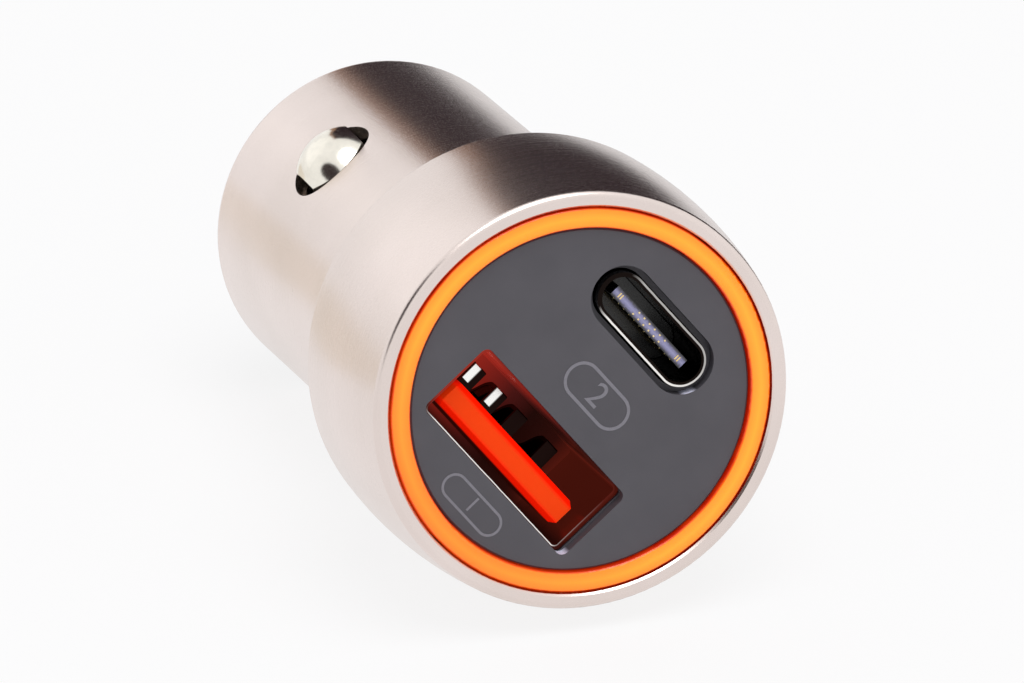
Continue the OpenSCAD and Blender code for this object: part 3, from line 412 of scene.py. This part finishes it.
# %% Plated and bare metals
def plated(name, code_low, code_high, rough, haze_scale=1.5):
    material, tree, shader, plug = finish(name, Metallic=1.0)
    haze = add(tree, NOISE, Vector=plug, Scale=haze_scale, Detail=3.0, Roughness=0.6)
    fine = add(tree, NOISE, Vector=plug, Scale=18.0, Detail=1.0)
    tint = add(tree, RAMP, stops=[(0.3, code_low), (0.7, code_high)], Fac=haze)
    gloss = add(tree, RANGE, Value=haze, To_Min=rough - 0.03, To_Max=rough + 0.05)
    relief = add(tree, BUMP, Height=fine, Distance=0.001 * MM, Strength=0.5)
    join(tree, shader, Base_Color=tint, Roughness=gloss, Normal=relief)
    return material


# %% [markdown]
# The four strips in the wide port get painted highlights on one side only. There they are bright
# nickel, and the rest of each strip is painted nearly black as shade. The places are measured along the port,
# and next to the tongue the strips are painted black again.

# %% Nickel strip with two painted highlights and painted shade
def contact_strip_painted_light():
    material, tree, shader, plug = finish("nickel_strip_painted_highlights", Metallic=1.0)
    part = add(tree, PARTS, Vector=plug).outputs
    along = add(tree, RANGE, Value=part["X"], From_Min=-4.0, From_Max=4.0)
    bright, black = "#FBFAF7", "#1C100E"
    # Painted highlights in two places along the port, and painted shade everywhere else.
    places = add(tree, RAMP, Fac=along, stops=[
        (0.0, black), (1.0, black), (0.004, bright), (0.06, bright), (0.07, black),
        (0.315, black), (0.325, bright), (0.375, bright), (0.385, black),
    ])
    # Next to the tongue the strips are painted black.
    clear = add(tree, MATH, {"operation": "GREATER_THAN"}, i0=part["Y"], i1=WIDE_FACE_Y + 0.45)
    tint = add(tree, MIX, COLOURS, i0=clear, i6=colour(black), i7=places).outputs[2]
    fine = add(tree, NOISE, Vector=plug, Scale=9.0)
    gloss = add(tree, RANGE, Value=fine, To_Min=0.1, To_Max=0.2)
    relief = add(tree, BUMP, Height=fine, Distance=0.001 * MM, Strength=0.5)
    join(tree, shader, Base_Color=tint, Roughness=gloss, Normal=relief)
    return material


# %% [markdown]
# The small port's tongue is black polymer. Its front is a sawn face, which scatters the light, so its
# middle looks lavender grey and fades to black at its edges. It is told from the rest by its depth.

# %% Black polymer with a sawn front
def sawn_tongue():
    material, tree, shader, plug = finish("black_polymer_sawn_front", IOR=1.6)
    part = add(tree, PARTS, Vector=plug).outputs
    off = add(tree, MATH, {"operation": "ABSOLUTE"}, i0=add(tree, MATH, i0=part["Y"], i1=-SMALL_Y))
    saw = add(tree, NOISE, Vector=plug, Scale=7.0)
    fray = add(tree, RANGE, Value=saw, To_Min=-0.12, To_Max=0.12)
    front = add(tree, RAMP, Fac=add(tree, MATH, i0=off, i1=fray), stops=[
        (0.0, "#A09FC6"), (0.34, "#18171C"), (0.15, "#8583AA"), (0.26, "#46444F")])
    at_front = add(tree, MATH, {"operation": "GREATER_THAN"}, i0=part["Z"], i1=SMALL_TIP_Z - 2 * HAIR)
    tint = add(tree, MIX, COLOURS, i0=at_front, i6=colour("#0A0A0D"), i7=front).outputs[2]
    gloss = add(tree, RANGE, Value=saw, To_Min=0.2, To_Max=0.34)
    relief = add(tree, BUMP, Height=saw, Distance=0.002 * MM, Strength=0.5)
    join(tree, shader, Base_Color=tint, Roughness=gloss, Normal=relief)
    return material


# %% [markdown]
# A circuit board is glass cloth in resin under green solder mask. Copper tracks lift the mask by a
# hair, which the eye sees as slightly paler lines. They are drawn from a wavy band pattern, broken up
# by a coarse noise, and the weave of the cloth is a fine grid of 0.4 mm.

# %% Green solder mask
def solder_mask():
    material, tree, shader, plug = finish("green_solder_mask", IOR=1.52, Coat_Weight=0.35, Coat_Roughness=0.12)
    cells = add(tree, NOISE, Vector=plug, Scale=0.45, Detail=0.0)
    track = add(tree, "ShaderNodeTexWave", {"wave_type": "BANDS", "bands_direction": "X"},
                Vector=plug, Scale=0.55, Distortion=1.2, Detail=0.0).outputs["Fac"]
    broken = add(tree, MATH, {"operation": "MULTIPLY"}, i0=track, i1=cells)
    lanes = add(tree, RANGE, Value=broken, From_Min=0.36, From_Max=0.4)
    tint = add(tree, RAMP, stops=[(0.0, "#0E3F28"), (1.0, "#1B6A42")], Fac=lanes)
    weave = add(tree, "ShaderNodeTexChecker", Vector=plug, Scale=2.5).outputs["Fac"]
    gloss = add(tree, RANGE, Value=weave, To_Min=0.3, To_Max=0.36)
    height = add(tree, MATH, {"operation": "MULTIPLY_ADD"}, i0=weave, i1=0.15, i2=lanes)
    relief = add(tree, BUMP, Height=height, Distance=0.02 * MM, Strength=0.5)
    join(tree, shader, Base_Color=tint, Roughness=gloss, Normal=relief)
    return material


# %% [markdown]
# The lamps under the ring are a clear resin over a yellow phosphor. A round phosphor spot shows in a
# white case, which is drawn here from the distance to the ring's middle circle.

# %% Phosphor lamp
def phosphor_lamp():
    material, tree, shader, plug = finish("phosphor_lamp", Roughness=0.25, IOR=1.46)
    beside = add(tree, MATH, {"operation": "SUBTRACT"}, i0=distance_from_axis(tree, plug), i1=RING_MID)
    off = add(tree, MATH, {"operation": "ABSOLUTE"}, i0=beside)
    fray = add(tree, RANGE, Value=add(tree, NOISE, Vector=plug, Scale=6.0), To_Min=-0.04, To_Max=0.04)
    spot = add(tree, MATH, i0=off, i1=fray)
    tint = add(tree, RAMP, stops=[(0.28, "#F3D23A"), (0.36, "#EFEDE6")], Fac=spot)
    relief = add(tree, BUMP, Height=spot, Distance=0.02 * MM, Strength=0.3)
    join(tree, shader, Base_Color=tint, Normal=relief)
    return material


# %% Make the finishes
FINISH = {
    "body_metal": turned_champagne(),
    "panel_grey": slate_plate(),
    "ring_orange": amber_acrylic(),
    "port_steel": drawn_steel("nickel_plated_strip", "#C9C8C8", "#DEDDDC", 0.16),
    "tongue_red": red_nylon(),
    "port_black": moulded("black_liquid_crystal_polymer", "#08080A", "#0D0D10", 0.22, 14.0, 1.6, 0.002),
    "contact_nickel": contact_strip_painted_light(),
    "contact_gold": plated("gold_flash", "#E6C888", "#F3DFAC", 0.2),
    "dome_nickel": plated("polished_nickel", "#E6E1D6", "#F2EDE2", 0.15, 0.8),
    "spring_steel": plated("drawn_spring_wire", "#8E8C8A", "#A8A6A3", 0.26, 3.0),
    "pin_brass": plated("bare_brass", "#B8913F", "#D0AA58", 0.28),
    "board_green": solder_mask(),
    "chip_black": moulded("epoxy_moulding_compound", "#131315", "#1B1B1D", 0.55, 20.0),
    "ferrite": moulded("pressed_iron_powder", "#2E2E31", "#3A3A3D", 0.6, 10.0, 1.8, 0.01),
    "can_silver": drawn_steel("drawn_aluminium_can", "#B9BABC", "#CFD0D2", 0.24),
    "moulding_black": moulded("black_glass_filled_nylon", "#0F0F11", "#18181A", 0.5, 12.0),
    "moulding_white": moulded("natural_nylon", "#D2D0C6", "#DEDCD3", 0.45, 9.0),
    "lamp_yellow": phosphor_lamp(),
}
for name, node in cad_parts.items():
    for place in node.material_slots:
        place.material = FINISH[place.material.name.split(".")[0]]
OWN = {
    # The wide shell also gets the painted red glow.
    "usb_a_shell": port_shell(
        "wide_shell_nickel", WIDE_Y, 11.6, ("#3A1410", "#4C211A", "#24100C"), lit=True,
        half_x=6.4, half_y=2.71, corner=0.45, line=(0.08, 0.24), flanks=(1.0, 0.0), ends=(0.1, 0.22)),
    "usb_c_shell": port_shell(
        "small_shell_nickel", SMALL_Y, 12.3, ("#1A1412", "#1E1B1A", "#0A0908"),
        half_x=4.32, half_y=1.43, corner=1.429, line=(0.57, 0.91), flanks=(1.0, 0.5), ends=(0.8, 1.0)),
    "usb_c_tongue": sawn_tongue(),
    "port_carrier": moulded("slate_polycarbonate_inside", "#4E4C52", "#545258", 0.5, 12.0),
}
for name, material in OWN.items():
    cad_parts[name].material_slots[0].material = material
print("Finishes made:", len(FINISH) + len(OWN), "for", len(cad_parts), "nodes")

# %% [markdown]
# Geometry Nodes grow what repeats. A tree is built once, with named inputs for its sizes. A host
# object carries it, its inputs are set by their identifiers, and the evaluated result is copied into
# a plain mesh. The host is thrown away, so no modifier is left, and the mesh is moved from plug space
# into the scene in its own points, so that the object can stay at the origin. The last function
# gives a Float Curve its corners: first its two ends, then those between. The last few are sharp.

# %% Growing a piece from a tree
def new_tree(name, **sizes):
    tree = bpy.data.node_groups.new(name, "GeometryNodeTree")
    tree.interface.new_socket("Geometry", in_out="OUTPUT", socket_type="NodeSocketGeometry")
    for label, value in sizes.items():
        kind = "NodeSocketInt" if isinstance(value, int) else "NodeSocketFloat"
        tree.interface.new_socket(label, in_out="INPUT", socket_type=kind).default_value = value
    return tree, tree.nodes.new("NodeGroupInput").outputs


def end_tree(tree, geometry, material, smooth=True):
    real = add(tree, "GeometryNodeRealizeInstances", Geometry=geometry)
    shaded = add(tree, "GeometryNodeSetShadeSmooth", Geometry=real, Shade_Smooth=smooth)
    painted = add(tree, "GeometryNodeSetMaterial", Geometry=shaded, Material=material)
    add(tree, "NodeGroupOutput", Geometry=painted)
    return tree


def take_mesh(host):
    bpy.context.scene.collection.objects.link(host)
    graph = bpy.context.evaluated_depsgraph_get()
    mesh = bpy.data.meshes.new_from_object(host.evaluated_get(graph), depsgraph=graph)
    bpy.data.objects.remove(host)
    return mesh


def seat(name, mesh, body, place):
    mesh.transform(LAY @ place)
    piece = bpy.data.objects.new(name, mesh)
    bpy.context.scene.collection.objects.link(piece)
    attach(piece, body)
    print(name, "has", len(mesh.polygons), "faces")
    return piece


def grow(name, tree, body, place=Matrix.Identity(4), **sizes):
    host = bpy.data.objects.new(name + "_host", bpy.data.meshes.new(name + "_host"))
    grower = host.modifiers.new("grow", "NODES")
    grower.node_group = tree
    for item in tree.interface.items_tree:
        if item.item_type == "SOCKET" and item.in_out == "INPUT" and item.name in sizes:
            grower[item.identifier] = sizes[item.name]
    return seat(name, take_mesh(host), body, place)


def shape_curve(node, corners, sharp=0):
    points = node.mapping.curves[0].points
    points[0].location, points[1].location = corners[:2]
    for corner in corners[2:]:
        points.new(*corner)
    for point in list(points)[len(points) - sharp:]:
        point.handle_type = "VECTOR"
    node.mapping.update()


# %% [markdown]
# A coil spring is a round wire on a helix whose last turns close up, so that it stands flat. The
# helix is a Spiral curve with no height. A Float Curve then lifts its points: slowly at both ends and
# evenly between. A circle swept along it makes the wire.

# %% Tree of the coil springs
SIDE_SPRING = dict(Coil_Radius=1.4, Wire_Radius=0.2, Length=4.94, Turns=5.0)
CENTRE_SPRING = dict(Coil_Radius=2.3, Wire_Radius=0.25, Length=6.52, Turns=6.0)


def spring_tree():
    tree, size = new_tree("coil_spring", **SIDE_SPRING)
    line = add(tree, "GeometryNodeCurveSpiral", Resolution=40, Rotations=size["Turns"],
               Start_Radius=size["Coil_Radius"], End_Radius=size["Coil_Radius"], Height=0.0)
    lift = add(tree, "ShaderNodeFloatCurve", Value=add(tree, "GeometryNodeSplineParameter"))
    shape_curve(lift, ((0, 0), (1, 1), (0.12, 0.048), (0.88, 0.952)), sharp=4)
    room = add(tree, MATH, {"operation": "MULTIPLY_ADD"}, i0=size["Wire_Radius"], i1=-2.0, i2=size["Length"])
    rise = add(tree, MATH, {"operation": "MULTIPLY_ADD"}, i0=lift, i1=room, i2=size["Wire_Radius"])
    coil = add(tree, "GeometryNodeSetPosition", Geometry=line, Offset=add(tree, POINT, Z=rise))
    wire = add(tree, "GeometryNodeCurvePrimitiveCircle", Resolution=12, Radius=size["Wire_Radius"])
    swept = add(tree, "GeometryNodeCurveToMesh", Curve=coil, Profile_Curve=wire, Fill_Caps=True)
    return end_tree(tree, swept, FINISH["spring_steel"])


# %% [markdown]
# Each spring is put in place with the matrix of its seat, +Z along its wire's climb. The foot of a
# side spring stands on the holder. The far end of the centre one stays where it is, and the tip
# presses it from its foot.

# %% Grow the three springs
spring = spring_tree()
SIDE_Z, SIDE_FOOT_X, TAIL_FOOT_Z = -16.7, 5.53, -31.45


def spring_piece(name, node, place, sizes):
    piece = grow(name, spring, "housing", place, **sizes)
    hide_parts(node)
    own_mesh(piece)


RIGHT = Matrix.Translation((SIDE_FOOT_X, 0, SIDE_Z)) @ Matrix.Rotation(math.pi / 2, 4, "Y")
LEFT = Matrix.Rotation(math.pi, 4, "Z") @ RIGHT
TAIL = Matrix.Translation((0, 0, TAIL_FOOT_Z))
spring_piece("right_coil_spring", "side_spring_right", RIGHT, SIDE_SPRING)
spring_piece("left_coil_spring", "side_spring_left", LEFT, SIDE_SPRING)
spring_piece("tip_coil_spring", "centre_spring", TAIL, CENTRE_SPRING)

# %% [markdown]
# The wide port's four contacts are strips of bronze, bent into a hump that the plug presses flat, and
# then turned straight down into the tongue. A line of points along the axis is lifted by a Float Curve
# into that hump, and a thin oblong is swept along it. Four points carry the strip. They are numbered
# from 0 to 3, so twice the number less 3 gives -3, -1, 1 and 3. A third of that, cut to a whole
# number, is -1 or 1 for the outer two and 0 for the inner two. It sets the outer ones half a
# millimetre further out and the inner ones deeper, so that power meets first.

# %% Places of the four contacts
def four_places(tree, size):
    index = add(tree, "GeometryNodeInputIndex")
    place = add(tree, MATH, {"operation": "MULTIPLY_ADD"}, i0=index, i1=2.0, i2=-3.0)
    third = add(tree, MATH, {"operation": "DIVIDE"}, i0=place, i1=3.0)
    whole = add(tree, MATH, {"operation": "TRUNC"}, i0=third)
    across = add(tree, MATH, {"operation": "MULTIPLY_ADD"}, i0=whole, i1=0.5, i2=place)
    outer = add(tree, MATH, {"operation": "ABSOLUTE"}, i0=whole)
    less = add(tree, MATH, {"operation": "SUBTRACT"}, i0=outer, i1=1.0)
    sunk = add(tree, MATH, {"operation": "MULTIPLY"}, i0=less, i1=size["Step"])
    return add(tree, "GeometryNodePoints", Count=4, Position=add(tree, POINT, X=across, Z=sunk))


# %% Tree of the wide port's contacts
LINE_POINTS = 64
BEND = (LINE_POINTS - 2) / (LINE_POINTS - 1)  # the last point but one, from where the strip drops
HUMP = ((0, 0), (1, 0), (0.2, 0), (0.62, 0.88), (0.76, 1.0), (BEND, 1.0))


def hump_tree():
    tree, size = new_tree("spring_contacts", Length=3.5, Rise=1.42, Width=1.0, Thickness=0.25, Step=0.9)
    start = add(tree, POINT, Y=WIDE_FACE_Y, Z=WIDE_BASE_Z)
    end = add(tree, POINT, Y=WIDE_FACE_Y, Z=add(tree, MATH, i0=size["Length"], i1=WIDE_BASE_Z))
    line = add(tree, "GeometryNodeCurvePrimitiveLine", Start=start, End=end)
    fine = add(tree, "GeometryNodeResampleCurve", Curve=line, Count=LINE_POINTS)
    hump = add(tree, "ShaderNodeFloatCurve", Value=add(tree, "GeometryNodeSplineParameter"))
    shape_curve(hump, HUMP, sharp=2)
    half = add(tree, MATH, {"operation": "MULTIPLY"}, i0=size["Thickness"], i1=0.5)
    up = add(tree, MATH, {"operation": "MULTIPLY_ADD"}, i0=hump, i1=size["Rise"], i2=half)
    path = add(tree, "GeometryNodeSetPosition", Geometry=fine, Offset=add(tree, POINT, Y=up))
    flat = add(tree, "GeometryNodeSetCurveNormal", {"mode": "MINIMUM_TWIST"}, Curve=path)
    strip = add(tree, "GeometryNodeCurvePrimitiveQuadrilateral", Width=size["Width"], Height=size["Thickness"])
    swept = add(tree, "GeometryNodeCurveToMesh", Curve=flat, Profile_Curve=strip, Fill_Caps=True)
    placed = add(tree, "GeometryNodeInstanceOnPoints", Points=four_places(tree, size), Instance=swept)
    return end_tree(tree, placed, FINISH["contact_nickel"], smooth=False)


# %% Grow the wide port's contacts
wide_contacts = grow("wide_port_contacts", hump_tree(), "housing")
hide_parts("usb_a_contacts")

# %% [markdown]
# The small port has twelve gold strips on each face of its tongue. One strip is a line with a
# rounded, flattened bar swept along it, thinner at the tip. A row of twelve points carries it, and the
# row is turned half round for the other face. Where the tongue was sawn, the ends of the strips'
# carriers show as two rows of tiny gold squares, and at each end of the tongue as a pair of short
# bars. They are rows too, moved sideways by a shift, so that the turned row lies half a step along.

# %% A row of one thing, and the same row turned half round
def two_rows(tree, size, thing, shift, stand):
    index = add(tree, "GeometryNodeInputIndex")
    last = add(tree, MATH, {"operation": "SUBTRACT"}, i0=size["Count"], i1=1.0)
    middle = add(tree, MATH, {"operation": "MULTIPLY_ADD"}, i0=last, i1=-0.5, i2=index)
    across = add(tree, MATH, {"operation": "MULTIPLY_ADD"}, i0=middle, i1=size["Pitch"], i2=shift)
    spot = add(tree, POINT, X=across, Y=stand)
    row = add(tree, "GeometryNodePoints", Count=size["Count"], Position=spot)
    near = add(tree, "GeometryNodeInstanceOnPoints", Points=row, Instance=thing)
    far = add(tree, "GeometryNodeTransform", Geometry=near, Rotation=(0, 0, math.pi))
    both = add(tree, "GeometryNodeJoinGeometry", Geometry=near)
    join(tree, both, Geometry=far)
    return both


# %% Tree of the small port's contacts
FLATTEN = (1, 0.44, 1)


def strip_tree():
    tree, size = new_tree("gold_strips", Count=12, Pitch=0.5, Length=4.1, Width=0.25, Stand=0.35)
    line = add(tree, "GeometryNodeCurvePrimitiveLine", End=add(tree, POINT, Z=size["Length"]))
    fine = add(tree, "GeometryNodeResampleCurve", Curve=line, Count=12)
    taper = add(tree, "ShaderNodeFloatCurve", Value=add(tree, "GeometryNodeSplineParameter"))
    shape_curve(taper, ((0, 1), (1, 0.35), (0.9, 1.0)))
    half = add(tree, MATH, {"operation": "MULTIPLY"}, i0=size["Width"], i1=0.5)
    ring = add(tree, "GeometryNodeCurvePrimitiveCircle", Resolution=8, Radius=half)
    bar = add(tree, "GeometryNodeCurveToMesh", Curve=fine, Profile_Curve=ring, Scale=taper, Fill_Caps=True)
    flat = add(tree, "GeometryNodeTransform", Geometry=bar, Scale=FLATTEN)
    return end_tree(tree, two_rows(tree, size, flat, 0.0, size["Stand"]), FINISH["contact_gold"])


# %% Grow the small port's contacts
small_contacts = grow("small_port_contacts", strip_tree(), "housing",
                      Matrix.Translation((0, SMALL_Y, SMALL_BASE_Z)))
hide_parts("usb_c_contacts")


# %% Tree of the cut ends
def cut_end_tree():
    tree, size = new_tree("cut_ends", Count=6, Pitch=0.5, Row=0.16, Shift=0.12, Width=0.12, Height=0.1, Stand=0.03)
    block_size = add(tree, POINT, X=size["Width"], Y=size["Height"], Z=size["Stand"])
    block = add(tree, "GeometryNodeMeshCube", Size=block_size)
    rows = two_rows(tree, size, block, size["Shift"], size["Row"])
    return end_tree(tree, rows, FINISH["contact_gold"], smooth=False)


# %% Grow the cut ends
FRONT = Matrix.Translation((0, SMALL_Y, SMALL_TIP_Z + HAIR))
cut_end = cut_end_tree()
grow("small_port_cut_ends", cut_end, "housing", FRONT)
grow("small_port_end_bars", cut_end, "housing", FRONT, Count=2, Pitch=0.19, Row=0.0, Shift=2.78,
             Width=0.09, Height=0.34)

# %% [markdown]
# The face carries two marks in pale grey print, one for each port: plain port numbers, each in an
# outline, as a screen printer would set them. Text is a flat curve: it is filled, given the thickness
# of a coat of ink, made a mesh and only then placed.

# %% Grey ink
def grey_ink():
    material, tree, shader, plug = finish("grey_screen_ink", Roughness=0.5)
    mottle = add(tree, NOISE, Vector=plug, Scale=5.0)
    tint = add(tree, RAMP, stops=[(0.3, "#7B7981"), (0.7, "#828088")], Fac=mottle)
    grain = add(tree, NOISE, Vector=plug, Scale=16.0, Detail=1.0)
    relief = add(tree, BUMP, Height=grain, Distance=0.002 * MM, Strength=0.4)
    join(tree, shader, Base_Color=tint, Normal=relief)
    return material


INK = grey_ink()
INK_T = 0.02


def inked(name, curve, x, y):
    curve.extrude = INK_T / 2
    mesh = take_mesh(bpy.data.objects.new(name + "_host", curve))
    mesh.materials.clear()
    mesh.materials.append(INK)
    piece = seat(name, mesh, "housing", Matrix.Translation((x, y, PANEL_Z + INK_T / 2)))


# %% Print the two port numbers
SIZE_OVER_HEIGHT = 1.38  # the font's size for a figure that is 1 high
ARC_STEPS = 24


def number(name, text, height, x, y):
    curve = bpy.data.curves.new(name, "FONT")
    curve.body = text
    curve.size = height * SIZE_OVER_HEIGHT
    curve.align_x, curve.align_y = "CENTER", "CENTER"
    inked(name, curve, x, y)


def outline(name, width, height, thickness, x, y):
    curve = bpy.data.curves.new(name, "CURVE")
    curve.dimensions = "2D"
    curve.fill_mode = "BOTH"
    reach = width / 2 - height / 2
    for radius in (height / 2, height / 2 - thickness):
        points = []
        for centre, start in ((reach, -90), (-reach, 90)):
            for step in range(ARC_STEPS + 1):
                angle = math.radians(start + 180 * step / ARC_STEPS)
                points.append((centre + radius * math.cos(angle), radius * math.sin(angle)))
        spline = curve.splines.new("POLY")
        spline.points.add(len(points) - 1)
        for point, (px, py) in zip(spline.points, points):
            point.co = (px, py, 0, 1)
        spline.use_cyclic_u = True
    inked(name, curve, x, y)


WIDE_MARK, SMALL_MARK = (0.1, -9.1), (0.6, 0.9)
number("wide_port_number", "1", 1.1, *WIDE_MARK)
outline("wide_port_outline", 5.0, 1.7, 0.16, *WIDE_MARK)
number("small_port_number", "2", 1.6, *SMALL_MARK)
outline("small_port_outline", 5.2, 2.4, 0.2, *SMALL_MARK)

# %% [markdown]
# The camera is the photograph's: a long lens close to level with the face, whose place and turn were
# worked out from the ring, the rim and the barrel. In the picture's own axes, right, down and into it,
# that work gave the middle of the face in millimetres, the plug's axis, and two directions that lie in
# the face. The first of those, turned towards the second by FLOOR_TURN, points at the floor.

# %% Camera
PICTURE_PX, FOCAL_PX = 1024, 14699.527
SENSOR_MM = 36
FACE_IN_VIEW = Vector((4.2152, 3.6169, 885.5604))
FACE_AXIS = Vector((0.30669443, 0.26890164, -0.91303365))
ACROSS_VIEW = Vector((0.948, 0.0, 0.3184))
DOWN_VIEW = Vector((-0.0856, 0.9632, 0.2549))
FLOOR_TURN = math.radians(82.96)


def in_face(angle):
    return math.cos(angle) * ACROSS_VIEW + math.sin(angle) * DOWN_VIEW


def camera():
    down = in_face(FLOOR_TURN)
    scene_x = in_face(FLOOR_TURN - math.pi / 2).normalized()
    scene_y = (-math.cos(LEAN) * FACE_AXIS - math.sin(LEAN) * down).normalized()
    scene_z = (math.sin(LEAN) * FACE_AXIS - math.cos(LEAN) * down).normalized()
    view = Matrix((scene_x, scene_y, scene_z))
    face = LAY @ Vector((0, 0, HEAD_LEN))
    turn = Matrix([view @ Vector(axis) for axis in ((1, 0, 0), (0, -1, 0), (0, 0, -1))]).transposed()
    data = bpy.data.cameras.new("photo_camera")
    data.sensor_width = SENSOR_MM
    data.lens = SENSOR_MM * FOCAL_PX / PICTURE_PX
    data.clip_start, data.clip_end = 0.01, 20
    eye = bpy.data.objects.new("photo_camera", data)
    eye.matrix_world = Matrix.Translation(face - view @ FACE_IN_VIEW * MM) @ turn.to_4x4()
    bpy.context.scene.collection.objects.link(eye)
    bpy.context.scene.camera = eye
    print("Camera at", [round(c, 3) for c in eye.location])
    return view @ Vector((0, 0, 1))


LOOK = camera()
print("It looks along", [round(c, 3) for c in LOOK])

# %% [markdown]
# The plug lies on a white sheet under soft studio light. The camera and the metal see the sheet
# mostly by a light of its own, which brings it up to the white of the picture. The rest of it is
# paper, and keeps the shadow.

# %% Floor
OWN_LIGHT = 0.82
SHEET_M = 6  # from its middle to each side
FLOOR_Z = cad_box[0][2]


def empty_material(name):
    material = bpy.data.materials.new(name)
    material.use_nodes = True
    material.node_tree.nodes.clear()
    return material, material.node_tree


def white_sheet():
    material, tree = empty_material("white_sheet")
    paper = add(tree, "ShaderNodeBsdfDiffuse", Color=colour("#F4F3F6"))
    glow = add(tree, "ShaderNodeEmission", Color=colour("#FFFFFF"), Strength=1.0)
    ray = add(tree, "ShaderNodeLightPath").outputs
    seen = add(tree, MATH, {"operation": "MAXIMUM"}, i0=ray["Is Camera Ray"], i1=ray["Is Glossy Ray"])
    share = add(tree, MATH, {"operation": "MULTIPLY"}, i0=seen, i1=OWN_LIGHT)
    mixed = add(tree, "ShaderNodeMixShader", Fac=share, i1=paper, i2=glow)
    add(tree, "ShaderNodeOutputMaterial", Surface=mixed)
    return material


def flat_piece(name, corners, material):
    mesh = bpy.data.meshes.new(name)
    mesh.from_pydata(corners, [], [tuple(range(len(corners)))])
    mesh.materials.append(material)
    piece = bpy.data.objects.new(name, mesh)
    bpy.context.scene.collection.objects.link(piece)
    return piece


flat_piece("sheet_of_paper", [(SHEET_M * x, SHEET_M * y, FLOOR_Z) for x, y in ((-1, -1), (1, -1), (1, 1), (-1, 1))],
           white_sheet())

# %% [markdown]
# Polished metal shows the room, so the room is part of its finish. Everything round the plug is
# white, and one dark card stands on the floor behind it, to the right of straight ahead. A cylinder
# that lies pointing away from the eye shows on its upper side what stands low behind it, so the card
# is the long dark band on the barrel and the head, and its slanting edge, with a brown strip along it,
# is the band's soft warm edge. A bright card to the left keeps the other flank pale, and a beige mat
# on the floor there gives the metal its cream streak. A second dark card, far to the left, is the spot
# on the round contact. Only reflections see the cards and the mat.

# %% World and lamp
ROOM_LIGHT, ROOM_SEEN = 0.62, 1.0  # the white room lights less than it shows


def studio():
    world = bpy.data.worlds.new("white_room")
    world.use_nodes = True
    bpy.context.scene.world = world
    tree = world.node_tree
    ray = add(tree, "ShaderNodeLightPath").outputs
    seen = ray["Is Camera Ray"]
    for other in ("Is Transmission Ray", "Is Glossy Ray"):
        seen = add(tree, MATH, {"operation": "MAXIMUM"}, i0=seen, i1=ray[other])
    glow = add(tree, RANGE, Value=seen, To_Min=ROOM_LIGHT, To_Max=ROOM_SEEN)
    join(tree, tree.nodes["Background"], Color=colour("#FFFFFF"), Strength=glow)


def lamp(name, place, aim, size, watts):
    data = bpy.data.lights.new(name, "AREA")
    data.shape, data.size, data.energy = "DISK", size, watts
    light = bpy.data.objects.new(name, data)
    light.location = place
    light.rotation_euler = (Vector(aim) - Vector(place)).to_track_quat("-Z", "Y").to_euler()
    bpy.context.scene.collection.objects.link(light)


def behind(azimuth, distance, height):
    ahead = Vector((LOOK.x, LOOK.y, 0)).normalized() * distance
    ahead.rotate(Matrix.Rotation(math.radians(-azimuth), 3, "Z"))
    return (ahead.x, ahead.y, FLOOR_Z + height)


studio()
lamp("key_softbox", behind(165, 0.4, 1.05), aim=(0, 0, 0), size=0.8, watts=5.0)

# %% [markdown]
# A card is drawn by its corners. Each is given as a compass angle from straight ahead, a distance and
# a height over the floor. The brown strip stands a millimetre behind the dark card's edge.

# %% Cards
def card(name, code, corners, strength=1.0):
    material, tree = empty_material(name)
    shine = add(tree, "ShaderNodeEmission", Color=colour(code), Strength=strength)
    add(tree, "ShaderNodeOutputMaterial", Surface=shine)
    piece = flat_piece(name, [behind(*corner) for corner in corners], material)
    piece.visible_camera = piece.visible_diffuse = piece.visible_shadow = False


NEAR = 0.35
EDGE = [(-5.5, 0.004), (-10, 0.12), (-14.6, 0.165), (-20, 0.235), (-27.5, 0.5)]
RIGHT_SIDE = [(60, 0.5), (60, 0.016), (11, 0.013), (3, 0.006)]
card("dark_card", "#30262A", [(azimuth, NEAR, height) for azimuth, height in EDGE + RIGHT_SIDE])
STRIP_WIDTH, STRIP_BACK = 3.5, NEAR + 0.001
card("brown_edge", "#98745C",
     [(azimuth - STRIP_WIDTH, STRIP_BACK, height) for azimuth, height in EDGE]
     + [(azimuth, STRIP_BACK, height) for azimuth, height in reversed(EDGE)])
card("bright_card", "#FFFFFF", [(-80, 0.6, 0.1), (-30, 0.6, 0.1), (-30, 0.6, 0.6), (-80, 0.6, 0.6)], strength=1.12)
MAT = [(-42, 0.06), (-38, 0.09), (-38, 0.14), (-44, 0.24), (-56, 0.26), (-68, 0.2), (-70, 0.08), (-56, 0.05)]
card("beige_mat", "#EFE8DE", [(azimuth, distance, 0.0005) for azimuth, distance in MAT])
TURN = [math.radians(20 * step) for step in range(18)]
card("far_card", "#33282A", [(-136 + 26 * math.cos(t), 0.5, 0.3 + 0.2 * math.sin(t)) for t in TURN])

# %% [markdown]
# The view transform stays Standard, so that a colour renders as it is written.

# %% View transform
bpy.context.scene.view_settings.view_transform = "Standard"
